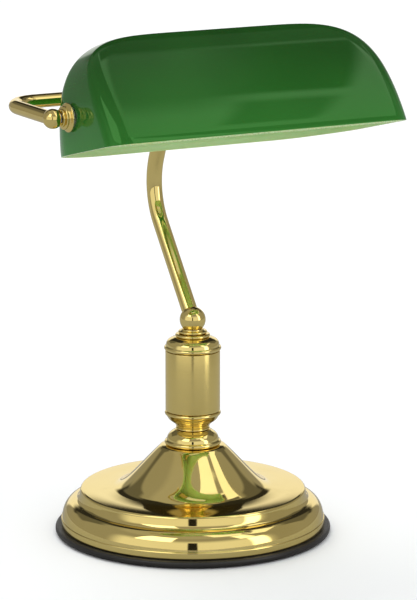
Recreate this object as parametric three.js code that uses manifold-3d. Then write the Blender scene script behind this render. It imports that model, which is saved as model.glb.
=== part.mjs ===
// Banker desk lamp: a weighted brass base and column, a bent arm that carries a U-shaped yoke,
// and a green glass shade that tilts on two knobs at the yoke's ends, over a tubular bulb.
// Units are millimetres. +Z is up, -Y is the front, and the origin is the middle of the foot.

import * as THREE from 'three';
import { mergeVertices } from 'three/addons/utils/BufferGeometryUtils.js';
import Module from 'manifold-3d';

const wasm = await Module();
wasm.setup();

// ---------------------------------------------------------------- driving dimensions

const GAP = 0.3; // air left between pieces that touch

const stand = {
  footRadius: 95, // rubber edge ring, the widest part of the base
  lipRadius: 92, // brass lip that sits on the ring
  stepRadius: 78.5, // raised disc on top of the shoulder
  coneFoot: 56, // where the flat disc starts to flare up
  coneTop: 21.6,
  sheet: 1.5, // spun brass wall
};

const level = {
  ringTop: 5.1, // top of the rubber edge ring
  lipTop: 10.9,
  shoulderTop: 23,
  discTop: 31.5,
  coneTop: 61.9,
  galleryTop: 73,
  spoolTop: 86.4,
  columnTop: 129.1,
  capTop: 138.5,
  largeRingTop: 141,
  smallRingTop: 144.3,
  ballCentre: 150.8,
};

const BALL_RADIUS = 9;
const TIE_RADIUS = 4.8; // threaded tube that draws the stand together
const TIE_BORE = 3.2;
const TIE_HOLE = TIE_RADIUS + GAP;

const arm = {
  radius: 5.5,
  bore: 4.3,
  leanBack: THREE.MathUtils.degToRad(38), // lower stretch
  leanForward: THREE.MathUtils.degToRad(22.8), // upper stretch
  bend: 45,
};

const yoke = {
  halfWidth: 125, // from the middle to each leg's centreline
  back: 32.1, // rear tube, behind the column's axis
  pivotForward: 40.9, // knobs, in front of the column's axis
  height: 305.9,
  radius: 4.7,
  bore: 3.5,
  bend: 21,
};

const knob = { radius: 6.65, face: 3.1 }; // face: flat towards the shade, from the ball's centre
const NIPPLE_RADIUS = 3.2;
const NIPPLE_BORE = 1.8;

const shade = {
  halfLength: 112.6,
  depth: 117.3,
  height: 74.1,
  wall: 3.2,
  ridgeHalf: 28.4, // half length of the crest
  ridgeFromBack: 63.4,
  ridgeFlat: 4,
  frontCorner: 15.1,
  backCorner: 48.1,
  endPower: 4.1, // how square each wall is as it rises and rolls over
  frontPower: 1.2,
  backPower: 1.45,
  pivotFromBack: 57.5,
  pivotAboveRim: 24,
  tilt: THREE.MathUtils.degToRad(13.8), // front edge raised
  hole: 5.3,
};

const holder = { start: 100.2, capLength: 13, radius: 16.5, length: 30, sheet: 1 };
const bulb = { radius: 15.5, length: 118, capRadius: 13, capLength: 22 };

// ---------------------------------------------------------------- finishes

function finish(colour, roughness, metalness) {
  return () => new THREE.MeshStandardMaterial({ color: colour, roughness, metalness });
}

const polishedBrass = finish(0xd9bd6a, 0.12, 1);
const satinBrass = finish(0xd2b566, 0.35, 1);
const greenGlass = finish(0x2f6f2b, 0.08, 0);
const blackRubber = finish(0x111111, 0.7, 0);
const greenFelt = finish(0x26382a, 0.95, 0);
const castIron = finish(0x3c3c3e, 0.7, 0.6);
const zincSteel = finish(0xb4b8bb, 0.4, 1);
const whiteFibre = finish(0xd8d3c4, 0.8, 0);
const blackResin = finish(0x18181a, 0.45, 0);
const glazedCeramic = finish(0xe9e5da, 0.25, 0);
const opalGlass = finish(0xf1efe6, 0.3, 0);
const nickel = finish(0xc9c6bd, 0.25, 1);
const tungsten = finish(0x6d6a66, 0.4, 1);

// ---------------------------------------------------------------- shape helpers

function point(radius, height) {
  return new THREE.Vector2(radius, height);
}

// An arc of a turned profile, from one angle to another in degrees, as a list of points.
function arc(radius, height, size, from, to, steps = 5) {
  const points = [];
  for (let i = 0; i <= steps; i += 1) {
    const angle = THREE.MathUtils.degToRad(from + ((to - from) * i) / steps);
    points.push(point(radius + size * Math.cos(angle), height + size * Math.sin(angle)));
  }
  return points;
}

// A solid of revolution about Z. The profile closes on itself and may run either way round.
function turned(profile, segments = 24) {
  const closed = [...profile, profile[0].clone()];
  const outline = THREE.ShapeUtils.area(profile) < 0 ? closed.reverse() : closed;
  return new THREE.LatheGeometry(outline, segments).rotateX(Math.PI / 2);
}

// A plain ring about Z between two heights.
function ring(inner, outer, bottom, top, segments = 24) {
  const profile = [point(inner, bottom), point(outer, bottom), point(outer, top), point(inner, top)];
  return turned(profile, segments);
}

function rod(radius, length, segments = 20) {
  return new THREE.CylinderGeometry(radius, radius, length, segments).rotateX(Math.PI / 2);
}

function hexagon(acrossFlats, hole, bottom, top) {
  const outline = new THREE.Shape();
  for (let i = 0; i < 6; i += 1) {
    const angle = ((i + 0.5) * Math.PI) / 3;
    const corner = acrossFlats / 2 / Math.cos(Math.PI / 6);
    outline[i ? 'lineTo' : 'moveTo'](corner * Math.cos(angle), corner * Math.sin(angle));
  }
  outline.holes.push(new THREE.Path().absarc(0, 0, hole, 0, 2 * Math.PI, true));
  const body = { depth: top - bottom, bevelEnabled: false, curveSegments: 10 };
  return new THREE.ExtrudeGeometry(outline, body).translate(0, 0, bottom);
}

// A hollow round tube along a path.
function tubeAlong(path, radius, bore, steps, sides) {
  const section = new THREE.Shape().absarc(0, 0, radius, 0, 2 * Math.PI);
  if (bore > 0) section.holes.push(new THREE.Path().absarc(0, 0, bore, 0, 2 * Math.PI, true));
  const sweep = { steps, extrudePath: path, bevelEnabled: false, curveSegments: sides };
  return new THREE.ExtrudeGeometry(section, sweep);
}

// The round bend that joins two straight stretches at a corner.
class Bend extends THREE.Curve {
  constructor(before, corner, after, radius) {
    super();
    const into = corner.clone().sub(before).normalize();
    const out = after.clone().sub(corner).normalize();
    const turn = into.angleTo(out);
    const reach = radius * Math.tan(turn / 2);
    this.radius = radius;
    this.turn = turn;
    this.into = into;
    this.start = corner.clone().addScaledVector(into, -reach);
    this.side = out.clone().addScaledVector(into, -into.dot(out)).normalize();
    this.finish = corner.clone().addScaledVector(out, reach);
  }

  getPoint(share, target = new THREE.Vector3()) {
    const angle = this.turn * share;
    target.copy(this.start).addScaledVector(this.into, this.radius * Math.sin(angle));
    return target.addScaledVector(this.side, this.radius * (1 - Math.cos(angle)));
  }
}

// A path through corners, with a round bend of one radius at each inner corner.
function bentPath(corners, radius) {
  const path = new THREE.CurvePath();
  let from = corners[0];
  for (let i = 1; i < corners.length - 1; i += 1) {
    const bend = new Bend(corners[i - 1], corners[i], corners[i + 1], radius);
    path.add(new THREE.LineCurve3(from, bend.start));
    path.add(bend);
    from = bend.finish;
  }
  path.add(new THREE.LineCurve3(from, corners[corners.length - 1]));
  return path;
}

// ---------------------------------------------------------------- joining and cutting

function toSolid(geometry) {
  const bare = geometry.clone();
  bare.deleteAttribute('normal');
  bare.deleteAttribute('uv');
  const merged = mergeVertices(bare, 1e-4);
  const corners = merged.index.array;
  const kept = [];
  for (let i = 0; i < corners.length; i += 3) {
    const [a, b, c] = [corners[i], corners[i + 1], corners[i + 2]];
    if (a !== b && b !== c && c !== a) kept.push(a, b, c);
  }
  const vertProperties = new Float32Array(merged.attributes.position.array);
  const triVerts = new Uint32Array(kept);
  return new wasm.Manifold(new wasm.Mesh({ numProp: 3, vertProperties, triVerts }));
}

function toGeometry(solid) {
  const result = solid.getMesh();
  const geometry = new THREE.BufferGeometry();
  geometry.setAttribute('position', new THREE.BufferAttribute(result.vertProperties, 3));
  geometry.setIndex(new THREE.BufferAttribute(result.triVerts, 1));
  geometry.computeVertexNormals();
  return geometry;
}

function cut(geometry, ...tools) {
  return toGeometry(tools.reduce((left, tool) => left.subtract(toSolid(tool)), toSolid(geometry)));
}

function join(geometry, ...others) {
  return toGeometry(others.reduce((whole, other) => whole.add(toSolid(other)), toSolid(geometry)));
}

// ---------------------------------------------------------------- scene graph

const lamp = new THREE.Group();

function place(name, geometry, material, parent = lamp) {
  const mesh = new THREE.Mesh(geometry, material());
  mesh.name = name;
  parent.add(mesh);
  return mesh;
}

// ---------------------------------------------------------------- base

const PLATE_RADIUS = 88;
const PAD_TOP = 1.6;
const PLATE_TOP = 3.3;
const NUT_RECESS = 11;
const weight = { radius: 76, edgeTop: 24, slopeFoot: 46, slopeFootHeight: 26, neck: 19, top: 54, recess: 26 };

function footPad() {
  return turned([point(0, 0), point(PLATE_RADIUS, 0), point(PLATE_RADIUS, PAD_TOP), point(0, PAD_TOP)], 40);
}

function edgeRing() {
  const inner = PLATE_RADIUS + GAP;
  const lip = 1.2;
  const rounded = arc(stand.footRadius - lip, level.ringTop - lip, lip, 0, 90, 3);
  const profile = [point(inner, 0), point(stand.footRadius - 0.6, 0), point(stand.footRadius, 0.8)];
  return turned([...profile, ...rounded, point(inner, level.ringTop)], 40);
}

// Upper face of the spun base, from the lip to the top of the cone.
function baseOutline() {
  const shoulder = new THREE.CubicBezierCurve(
    point(stand.lipRadius - 0.6, level.lipTop + 0.8),
    point(stand.lipRadius - 1.6, level.lipTop + 7),
    point(stand.lipRadius - 4.5, level.shoulderTop - 1),
    point(stand.lipRadius - 9.4, level.shoulderTop),
  );
  const flare = new THREE.CubicBezierCurve(
    point(stand.coneFoot, level.discTop + 1),
    point(stand.coneFoot - 10, level.discTop + 1.3),
    point(stand.coneFoot - 19.5, level.discTop + 16),
    point(stand.coneTop + 1, level.coneTop - 0.4),
  );
  return [
    point(stand.lipRadius, level.ringTop + GAP),
    point(stand.lipRadius, level.lipTop),
    ...shoulder.getPoints(5),
    point(stand.stepRadius + 1, level.discTop - 5),
    point(stand.stepRadius, level.discTop - 1.6),
    point(stand.stepRadius - 1.6, level.discTop),
    ...flare.getPoints(8),
    point(stand.coneTop, level.coneTop),
  ];
}

function baseShell() {
  const outer = baseOutline();
  const under = outer.map((p, i) => {
    const before = outer[Math.max(i - 1, 0)];
    const after = outer[Math.min(i + 1, outer.length - 1)];
    const along = after.clone().sub(before).normalize();
    return point(p.x - along.y * stand.sheet, p.y + along.x * stand.sheet);
  });
  under[0] = point(stand.lipRadius - stand.sheet, level.ringTop + GAP);
  under[under.length - 1] = point(stand.coneTop - stand.sheet, level.coneTop - stand.sheet);
  const inside = under.filter((p, i) => i % 2 === 0 || i === under.length - 1);
  const hub = [point(TIE_HOLE, level.coneTop), point(TIE_HOLE, level.coneTop - stand.sheet)];
  const shell = turned([...outer, ...hub, ...inside.reverse()], 40);
  const hole = rod(CORD_HOLE, 20, 16).rotateX(Math.PI / 2).translate(0, CORD_SEAT, CORD_HEIGHT);
  return cut(shell, hole);
}

function baseWeight() {
  const bottom = PLATE_TOP + GAP;
  return turned(
    [
      point(TIE_HOLE, bottom + NUT_RECESS),
      point(weight.recess, bottom + NUT_RECESS),
      point(weight.recess, bottom),
      point(weight.radius, bottom),
      point(weight.radius, weight.edgeTop),
      point(weight.slopeFoot, weight.slopeFootHeight),
      point(weight.neck, weight.top),
      point(TIE_HOLE, weight.top),
    ],
    36,
  );
}

const CORD_HOLE = 4.6;
const CORD_HEIGHT = 15.5;
const CORD_SEAT = 86; // middle of the bushing, behind the axis

// Flanged bushing for the flat supply lead, in the back of the base.
function cordBushing() {
  const sleeve = CORD_HOLE - GAP;
  const flange = CORD_HOLE + 2;
  const [inside, seat, face] = [-7, 6.2, 7.4]; // ends of the sleeve and the flange's outer face
  const profile = [point(0, inside), point(sleeve, inside), point(sleeve, seat), point(flange, seat)];
  const body = turned([...profile, point(flange, face), point(0, face)], 20);
  const [slotWidth, slotHeight] = [5.6, 3];
  const slot = new THREE.BoxGeometry(slotWidth, slotHeight, 30);
  return cut(body, slot).rotateX(-Math.PI / 2).translate(0, CORD_SEAT, CORD_HEIGHT);
}

place('foot_pad', footPad(), greenFelt);
place('edge_ring', edgeRing(), blackRubber);
place('bottom_plate', ring(0.01, PLATE_RADIUS, PAD_TOP + GAP, PLATE_TOP, 40), zincSteel);
place('base_weight', baseWeight(), castIron);
place('base_shell', baseShell(), polishedBrass);
place('cord_bushing', cordBushing(), blackResin);

// ---------------------------------------------------------------- column

function galleryRing() {
  const bottom = level.coneTop + GAP;
  const dome = new THREE.QuadraticBezierCurve(
    point(17.6, level.coneTop + 4.4),
    point(17.2, level.galleryTop - 3.4),
    point(12.4, level.galleryTop - 0.6),
  );
  const bead = arc(18.2, bottom + 1.8, 1.5, -70, 70, 4);
  const top = [point(12.2, level.galleryTop), point(TIE_HOLE, level.galleryTop)];
  return turned([point(TIE_HOLE, bottom), ...bead, ...dome.getPoints(4), ...top], 24);
}

function waistSpool() {
  const bottom = level.galleryTop + GAP;
  const flare = new THREE.CubicBezierCurve(
    point(11.6, bottom + 1.4),
    point(12.2, bottom + 5),
    point(16.6, bottom + 5),
    point(18.4, level.spoolTop - 3.2),
  );
  const bead = arc(18.1, level.spoolTop - 1.5, 1.4, -60, 85, 4);
  const start = [point(TIE_HOLE, bottom), point(11.8, bottom), point(11.6, bottom + 1.4)];
  return turned([...start, ...flare.getPoints(5).slice(1), ...bead, point(TIE_HOLE, level.spoolTop)], 24);
}

function columnCap() {
  const bottom = level.columnTop + GAP;
  const shoulder = new THREE.QuadraticBezierCurve(
    point(18.6, bottom + 4.2),
    point(18.4, level.capTop - 1.4),
    point(13.4, level.capTop - 0.4),
  );
  const bead = arc(18.2, bottom + 2.2, 1.6, -75, 75, 4);
  const top = [point(12.8, level.capTop), point(TIE_HOLE, level.capTop)];
  return turned([point(TIE_HOLE, bottom), ...bead, ...shoulder.getPoints(4), ...top], 24);
}

function checkRing(radius, bottom, top, neck) {
  const half = (top - bottom) / 2;
  const round = arc(radius - half, bottom + half, half, -80, 80, 4);
  return turned([point(TIE_HOLE, bottom), ...round, point(neck, top), point(TIE_HOLE, top)], 24);
}

const smallRing = { bottom: level.largeRingTop + GAP, bead: 2 };

function smallCheckRing() {
  const { bottom, bead } = smallRing;
  const round = arc(9, bottom + bead / 2, bead / 2, -80, 80, 4);
  const neck = [point(7.7, bottom + bead + 0.2), point(7.5, level.smallRingTop)];
  return turned([point(TIE_HOLE, bottom), ...round, ...neck, point(TIE_HOLE, level.smallRingTop)], 24);
}

place('gallery_ring', galleryRing(), polishedBrass);
place('waist_spool', waistSpool(), polishedBrass);
place('column_tube', ring(17.4, 18.95, level.spoolTop + GAP, level.columnTop, 32), satinBrass);
place('column_cap', columnCap(), polishedBrass);
place('check_ring_large', checkRing(12.1, level.capTop + GAP, level.largeRingTop, 9), polishedBrass);
place('check_ring_small', smallCheckRing(), polishedBrass);

// ---------------------------------------------------------------- arm

const ballCentre = new THREE.Vector3(0, 0, level.ballCentre);
const tee = new THREE.Vector3(0, yoke.back, yoke.height);
const backward = new THREE.Vector3(0, Math.sin(arm.leanBack), Math.cos(arm.leanBack));
const forward = new THREE.Vector3(0, -Math.sin(arm.leanForward), Math.cos(arm.leanForward));

// Where the two straight stretches of the arm would meet.
function armCorner() {
  const across = tee.clone().sub(ballCentre);
  const spread = backward.y * forward.z - backward.z * forward.y;
  const reach = (across.y * forward.z - across.z * forward.y) / spread;
  return ballCentre.clone().addScaledVector(backward, reach);
}

const ARM_SEAT = 4.4; // the arm starts this far from the ball's centre, inside its socket
const ARM_END = yoke.radius + 0.9; // and stops this far below the yoke's centreline

function armPath() {
  const start = ballCentre.clone().addScaledVector(backward, ARM_SEAT);
  const end = tee.clone().addScaledVector(forward, -ARM_END);
  return bentPath([start, armCorner(), end], arm.bend);
}

// Turns a shape made along Z onto a direction, from a starting point.
function along(geometry, direction, origin) {
  const turn = new THREE.Quaternion().setFromUnitVectors(new THREE.Vector3(0, 0, 1), direction);
  return geometry.applyQuaternion(turn).translate(origin.x, origin.y, origin.z);
}

function armBall() {
  const ball = new THREE.SphereGeometry(BALL_RADIUS, 18, 12).translate(0, 0, level.ballCentre);
  const seat = rod(BALL_RADIUS, 10, 20).translate(0, 0, level.smallRingTop + GAP - 5);
  const tieTop = level.ballCentre - 2.4;
  const tieSocket = rod(TIE_HOLE, 20, 20).translate(0, 0, tieTop - 10);
  const leadHole = rod(TIE_BORE, 6, 12).translate(0, 0, tieTop);
  const armSocket = along(rod(arm.radius + GAP, 20).translate(0, 0, 10), backward, socketStart());
  return cut(ball, seat, tieSocket, leadHole, armSocket);
}

function socketStart() {
  return ballCentre.clone().addScaledVector(backward, ARM_SEAT - GAP);
}

function teeCoupling() {
  const sleeve = rod(yoke.radius + 2.6, 26, 24).rotateY(Math.PI / 2).translate(0, tee.y, tee.z);
  const boss = along(rod(arm.radius + 2, 15, 24).translate(0, 0, -8.5), forward, tee);
  const yokeBore = rod(yoke.radius + GAP, 40, 24).rotateY(Math.PI / 2).translate(0, tee.y, tee.z);
  const armBore = along(rod(arm.radius + GAP, 20, 24).translate(0, 0, -10.5), forward, tee);
  return cut(join(sleeve, boss), yokeBore, armBore);
}

// The U of the yoke: left knob, left leg, rear tube, right leg, right knob.
const LEG_END = 3.8; // each leg stops this far behind its knob's centre

function yokePath() {
  const corners = [
    new THREE.Vector3(-yoke.halfWidth, -yoke.pivotForward + LEG_END, yoke.height),
    new THREE.Vector3(-yoke.halfWidth, yoke.back, yoke.height),
    new THREE.Vector3(yoke.halfWidth, yoke.back, yoke.height),
    new THREE.Vector3(yoke.halfWidth, -yoke.pivotForward + LEG_END, yoke.height),
  ];
  return bentPath(corners, yoke.bend);
}

place('tie_tube', ring(TIE_BORE, TIE_RADIUS, PLATE_TOP + 1.2, level.ballCentre - 2.7, 16), zincSteel);
place('tie_washer', ring(TIE_HOLE, 12, PLATE_TOP + NUT_RECESS - 1.5, PLATE_TOP + NUT_RECESS), zincSteel);
place('tie_nut', hexagon(16, TIE_HOLE, PLATE_TOP + 4, PLATE_TOP + NUT_RECESS - 1.8), zincSteel);
place('arm_ball', armBall(), polishedBrass);
place('arm_tube', tubeAlong(armPath(), arm.radius, arm.bore, 22, 6), polishedBrass);
place('tee_coupling', teeCoupling(), polishedBrass);
place('yoke_tube', tubeAlong(yokePath(), yoke.radius, yoke.bore, 40, 6), polishedBrass);

// ---------------------------------------------------------------- knobs and clamps

const pivot = new THREE.Vector3(0, -yoke.pivotForward, yoke.height);
const GLASS_FACE = 112.3; // outer face of the shade's end wall at the pivot
const GLASS_BACK = GLASS_FACE - shade.wall;
const INNER_CLEARANCE = 0.9; // the end wall leans in a little above the pivot
const NIPPLE_START = 98.6; // inner end of each nipple, from the middle
const NIPPLE_SOCKET = 0.7; // how far the nipple's socket stops short of the knob's centre
const WASHER = { radius: 8, thickness: 0.8 };
const NUT_ACROSS = 12;
const NUT_HEIGHT = 4;

function pivotKnob() {
  const ball = new THREE.SphereGeometry(knob.radius, 16, 10);
  const face = rod(knob.radius, 10).translate(0, 0, -knob.face - 5);
  const nippleSocket = rod(NIPPLE_RADIUS + GAP, 10).translate(0, 0, -5 - NIPPLE_SOCKET);
  const legSocket = rod(yoke.radius + GAP, 10).rotateX(Math.PI / 2).translate(0, 5 + LEG_END - GAP, 0);
  const leadHole = rod(2.4, 8, 12).rotateX(Math.PI / 2).translate(0, 3, 0);
  return cut(ball, face, nippleSocket, legSocket, leadHole);
}

// Stepped collar between the knob and the glass, measured outwards from the glass.
function pivotCollar() {
  const bore = NIPPLE_RADIUS + GAP;
  const flange = [point(bore, 1.4), point(9, 1.4), point(9.75, 1.9), point(9.3, 2.8), point(7.2, 4)];
  const middle = arc(6.9, 5, 0.9, -60, 60, 3);
  const outer = arc(5.3, 6.7, 0.8, -60, 60, 3);
  return turned([...flange, ...middle, ...outer, point(bore, 7.6)], 16);
}

function pivotNipple(bore) {
  const outerEnd = yoke.halfWidth - NIPPLE_SOCKET - 0.5;
  return ring(bore, NIPPLE_RADIUS, NIPPLE_START - GLASS_FACE, outerEnd - GLASS_FACE, 16);
}

function fibreWasher(innerFace) {
  return ring(NIPPLE_RADIUS + GAP, WASHER.radius, innerFace, innerFace + WASHER.thickness, 20);
}

// Each clamp is built along +Z, outwards from the glass, and then laid along the X axis.
function clamp(side, sign) {
  const group = new THREE.Group();
  group.position.set(sign * GLASS_FACE, pivot.y, pivot.z);
  group.rotation.y = (sign * Math.PI) / 2;
  lamp.add(group);
  const hole = NIPPLE_RADIUS + GAP;
  const back = -shade.wall - INNER_CLEARANCE;
  const nutFace = back - WASHER.thickness - GAP - 0.1;
  const knobSeat = yoke.halfWidth - GLASS_FACE;
  const ball = pivotKnob().translate(0, 0, knobSeat);
  place(`pivot_knob_${side}`, ball, polishedBrass, group);
  place(`pivot_collar_${side}`, pivotCollar(), polishedBrass, group);
  place(`pivot_nipple_${side}`, pivotNipple(NIPPLE_BORE), zincSteel, group);
  place(`outer_washer_${side}`, fibreWasher(GAP), whiteFibre, group);
  place(`inner_washer_${side}`, fibreWasher(back - WASHER.thickness), whiteFibre, group);
  place(`lock_nut_${side}`, hexagon(NUT_ACROSS, hole, nutFace - NUT_HEIGHT, nutFace), zincSteel, group);
}

clamp('left', -1);
clamp('right', 1);

// ---------------------------------------------------------------- shade

// A wall's reach at a share of the height, from 1 at the rim to 0 at the crest.
function reach(share, power) {
  return (1 - share ** power) ** (1 / power);
}

// The rim's outline: a rounded rectangle, nearly square at the front and round at the back.
function rimOutline(inset, corners = 6) {
  const half = shade.halfLength - inset;
  const walls = [
    [1, shade.depth - inset, shade.frontCorner - inset, 0],
    [-1, shade.depth - inset, shade.frontCorner - inset, 90],
    [-1, inset, shade.backCorner - inset, 180],
    [1, inset, shade.backCorner - inset, 270],
  ];
  const outline = [];
  for (const [sign, wall, radius, from] of walls) {
    const centreDepth = wall > shade.depth / 2 ? wall - radius : wall + radius;
    for (let i = 0; i <= corners; i += 1) {
      const angle = THREE.MathUtils.degToRad(from + (90 * i) / corners);
      const x = sign * (half - radius) + radius * Math.cos(angle);
      outline.push([x, centreDepth + radius * Math.sin(angle)]);
    }
  }
  return outline;
}

// The outline at a share of the height: the rim's, drawn in towards the crest on every side.
function shadeOutline(share, inset) {
  const half = shade.halfLength - inset;
  const front = shade.depth - inset;
  const crestFront = shade.ridgeFromBack + shade.ridgeFlat / 2;
  const crestBack = shade.ridgeFromBack - shade.ridgeFlat / 2;
  const halfNow = shade.ridgeHalf + (half - shade.ridgeHalf) * reach(share, shade.endPower);
  const frontNow = crestFront + (front - crestFront) * reach(share, shade.frontPower);
  const backNow = crestBack - (crestBack - inset) * reach(share, shade.backPower);
  const squeeze = (frontNow - backNow) / (front - inset);
  return rimOutline(inset).map(([x, depth]) => [
    (x * halfNow) / half,
    backNow + (depth - inset) * squeeze,
  ]);
}

// A closed solid of the shade's outer or inner form, in its own frame with the pivot at zero.
function shadeForm(inset, rows = 12) {
  const positions = [];
  const heights = [];
  for (let i = 0; i <= rows; i += 1) heights.push(Math.sin((i / rows) * (Math.PI / 2 - 0.02)));
  const rim = inset > 0 ? -2 : 0;
  for (const share of heights) {
    const height = share === 0 ? rim : share * (shade.height - inset);
    for (const [x, depth] of shadeOutline(share, inset)) {
      positions.push(x, shade.pivotFromBack - depth, height - shade.pivotAboveRim);
    }
  }
  const around = positions.length / 3 / heights.length;
  const crest = shade.height - inset - shade.pivotAboveRim;
  positions.push(0, shade.pivotFromBack - shade.ridgeFromBack, rim - shade.pivotAboveRim);
  positions.push(0, shade.pivotFromBack - shade.ridgeFromBack, crest);
  const bottom = positions.length / 3 - 2;
  const index = [];
  for (let j = 0; j < around; j += 1) {
    const next = (j + 1) % around;
    for (let i = 0; i < rows; i += 1) {
      const [a, b] = [i * around + j, i * around + next];
      const [c, d] = [a + around, b + around];
      index.push(a, c, b, b, c, d);
    }
    index.push(bottom, j, next, rows * around + j, bottom + 1, rows * around + next);
  }
  const form = new THREE.BufferGeometry();
  form.setAttribute('position', new THREE.Float32BufferAttribute(positions, 3));
  form.setIndex(index);
  return form;
}

function shadeGlass() {
  const holes = rod(shade.hole, 4 * shade.halfLength, 24).rotateY(Math.PI / 2);
  return cut(shadeForm(0), shadeForm(shade.wall), holes);
}

const tilted = new THREE.Group();
tilted.position.copy(pivot);
tilted.rotation.x = -shade.tilt;
lamp.add(tilted);

place('shade_glass', shadeGlass(), greenGlass, tilted);

for (const [side, sign] of [['left', -1], ['right', 1]]) {
  const bush = ring(NIPPLE_RADIUS + 0.15, shade.hole - GAP, GLASS_BACK, GLASS_FACE - 0.1, 24);
  place(`shade_bush_${side}`, bush.rotateY((sign * Math.PI) / 2), blackResin, tilted);
}

// ---------------------------------------------------------------- lampholder

// The lampholder and the bulb are built along +Z and laid along +X, from the left knob inwards.
function axisGroup(start) {
  const group = new THREE.Group();
  group.position.set(start, pivot.y, pivot.z);
  group.rotation.y = Math.PI / 2;
  lamp.add(group);
  return group;
}

const holderGroup = axisGroup(-holder.start);

function holderCap() {
  const { radius, capLength, sheet } = holder;
  const dome = new THREE.QuadraticBezierCurve(point(7, 0), point(radius, 2), point(radius, capLength));
  const inside = new THREE.QuadraticBezierCurve(
    point(radius - sheet, capLength),
    point(radius - sheet, 2 + sheet),
    point(7, sheet),
  );
  const hub = [point(NIPPLE_RADIUS + GAP, sheet), point(NIPPLE_RADIUS + GAP, 0)];
  return turned([...hub, ...dome.getPoints(5), ...inside.getPoints(5)], 24);
}

const SHELL_START = holder.capLength + GAP;
const SLEEVE = { inner: 13.8, outer: 14.4 };

function holderShell() {
  const { radius, length, sheet } = holder;
  const end = SHELL_START + length;
  return turned(
    [
      point(radius - sheet, SHELL_START),
      point(radius, SHELL_START),
      point(radius, end - 2),
      point(radius + 1, end - 1),
      point(radius, end),
      point(radius - sheet, end),
    ],
    24,
  );
}

function holderInsulator() {
  return ring(2.2, holder.radius - holder.sheet - GAP, SHELL_START, SHELL_START + 5, 24);
}

// Bent strip that presses on the bulb's tip.
function holderContact() {
  return new THREE.BoxGeometry(6, 10, 0.6).translate(0, 1, SHELL_START + 5.7);
}

place('holder_cap', holderCap(), polishedBrass, holderGroup);
place('holder_shell', holderShell(), polishedBrass, holderGroup);
place('holder_insulator', holderInsulator(), glazedCeramic, holderGroup);
const sleeveStart = SHELL_START + 5 + GAP;
const sleeveEnd = SHELL_START + holder.length - 2;
place('holder_sleeve', ring(SLEEVE.inner, SLEEVE.outer, sleeveStart, sleeveEnd, 24), nickel, holderGroup);
place('holder_contact', holderContact(), nickel, holderGroup);

// ---------------------------------------------------------------- bulb

const BULB_START = -holder.start + SHELL_START + 6.4;
const bulbGroup = axisGroup(BULB_START);

const TIP_END = 2;
const INSULATOR_END = 4.4;
const CAP_END = INSULATOR_END + bulb.capLength;
const NECK = 11.6;

function bulbContact() {
  return turned([point(0, 0), point(3, 0), point(4.2, 1), point(4.2, TIP_END), point(0, TIP_END)], 16);
}

function bulbInsulator() {
  const bottom = TIP_END + GAP;
  const glass = [point(0, bottom), point(6, bottom), point(10.4, INSULATOR_END), point(0, INSULATOR_END)];
  return turned(glass, 20);
}

// Rolled screw cap: one low ridge for each turn of the thread.
function bulbCap() {
  const bottom = INSULATOR_END + GAP;
  const wall = 0.5;
  const turns = 5;
  const threads = [];
  for (let i = 0; i <= turns * 2; i += 1) {
    const crest = i % 2 ? 0 : 0.7;
    threads.push(point(bulb.capRadius - crest, bottom + 2 + (i * 14) / (turns * 2)));
  }
  const outside = [point(10.6, bottom), ...threads, point(bulb.capRadius, CAP_END)];
  const inside = [point(NECK + GAP, CAP_END), point(NECK + GAP, bottom + 2), point(10.2, bottom + wall)];
  return turned([...outside, ...inside], 24);
}

// Tubular glass with a round end and an open neck.
function bulbEnvelope() {
  const wall = 0.8;
  const neckStart = INSULATOR_END + 6;
  const shoulder = CAP_END + 9;
  const end = bulb.length - bulb.radius;
  const outside = [
    point(NECK, neckStart),
    point(NECK, CAP_END + 0.5),
    point(bulb.radius - 0.8, shoulder - 3),
    point(bulb.radius, shoulder),
    ...arc(0, end, bulb.radius, 0, 90, 5),
  ];
  const inside = [
    ...arc(0, end, bulb.radius - wall, 90, 0, 5),
    point(bulb.radius - wall, shoulder),
    point(NECK - wall, CAP_END + 1),
    point(NECK - wall, neckStart),
  ];
  return turned([...outside, ...inside], 24);
}

// Glass mount that carries the filament: a flare in the neck, a stalk and a button.
function bulbStem() {
  const bottom = INSULATOR_END + 7;
  return turned(
    [
      point(0, bottom),
      point(9.6, bottom),
      point(9.6, bottom + 1.2),
      point(3, bottom + 9),
      point(2, bottom + 30),
      point(2.6, bottom + 33),
      point(0, bottom + 34),
    ],
    12,
  );
}

// A single thin arch of wire, standing clear of the stem's button.
function bulbFilament() {
  const start = INSULATOR_END + 42;
  const arch = [
    new THREE.Vector3(-8, 0, start),
    new THREE.Vector3(-7, 0, start + 22),
    new THREE.Vector3(0, 0, start + 32),
    new THREE.Vector3(7, 0, start + 22),
    new THREE.Vector3(8, 0, start),
  ];
  return tubeAlong(new THREE.CatmullRomCurve3(arch), 0.35, 0, 16, 3);
}

place('bulb_contact', bulbContact(), nickel, bulbGroup);
place('bulb_insulator', bulbInsulator(), blackResin, bulbGroup);
place('bulb_cap', bulbCap(), nickel, bulbGroup);
place('bulb_envelope', bulbEnvelope(), opalGlass, bulbGroup);
place('bulb_stem', bulbStem(), opalGlass, bulbGroup);
place('bulb_filament', bulbFilament(), tungsten, bulbGroup);

export default lamp;
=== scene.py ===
# %% [markdown]
# # A banker's desk lamp
# The lamp is a weighted brass stand, a bent arm that carries a U-shaped yoke, and a green glass shade
# that tilts on two knobs. Most of its pieces are turned on a lathe or bent from tube, so most of this
# lesson is drawing half a profile and spinning it, or pulling a circle along a path.
# The frame holds the real sizes. Every fine piece is made where its plain twin stands in the frame,
# and takes over from it, so nothing has to be fitted afterwards.

# %% Load the frame
import math

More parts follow.
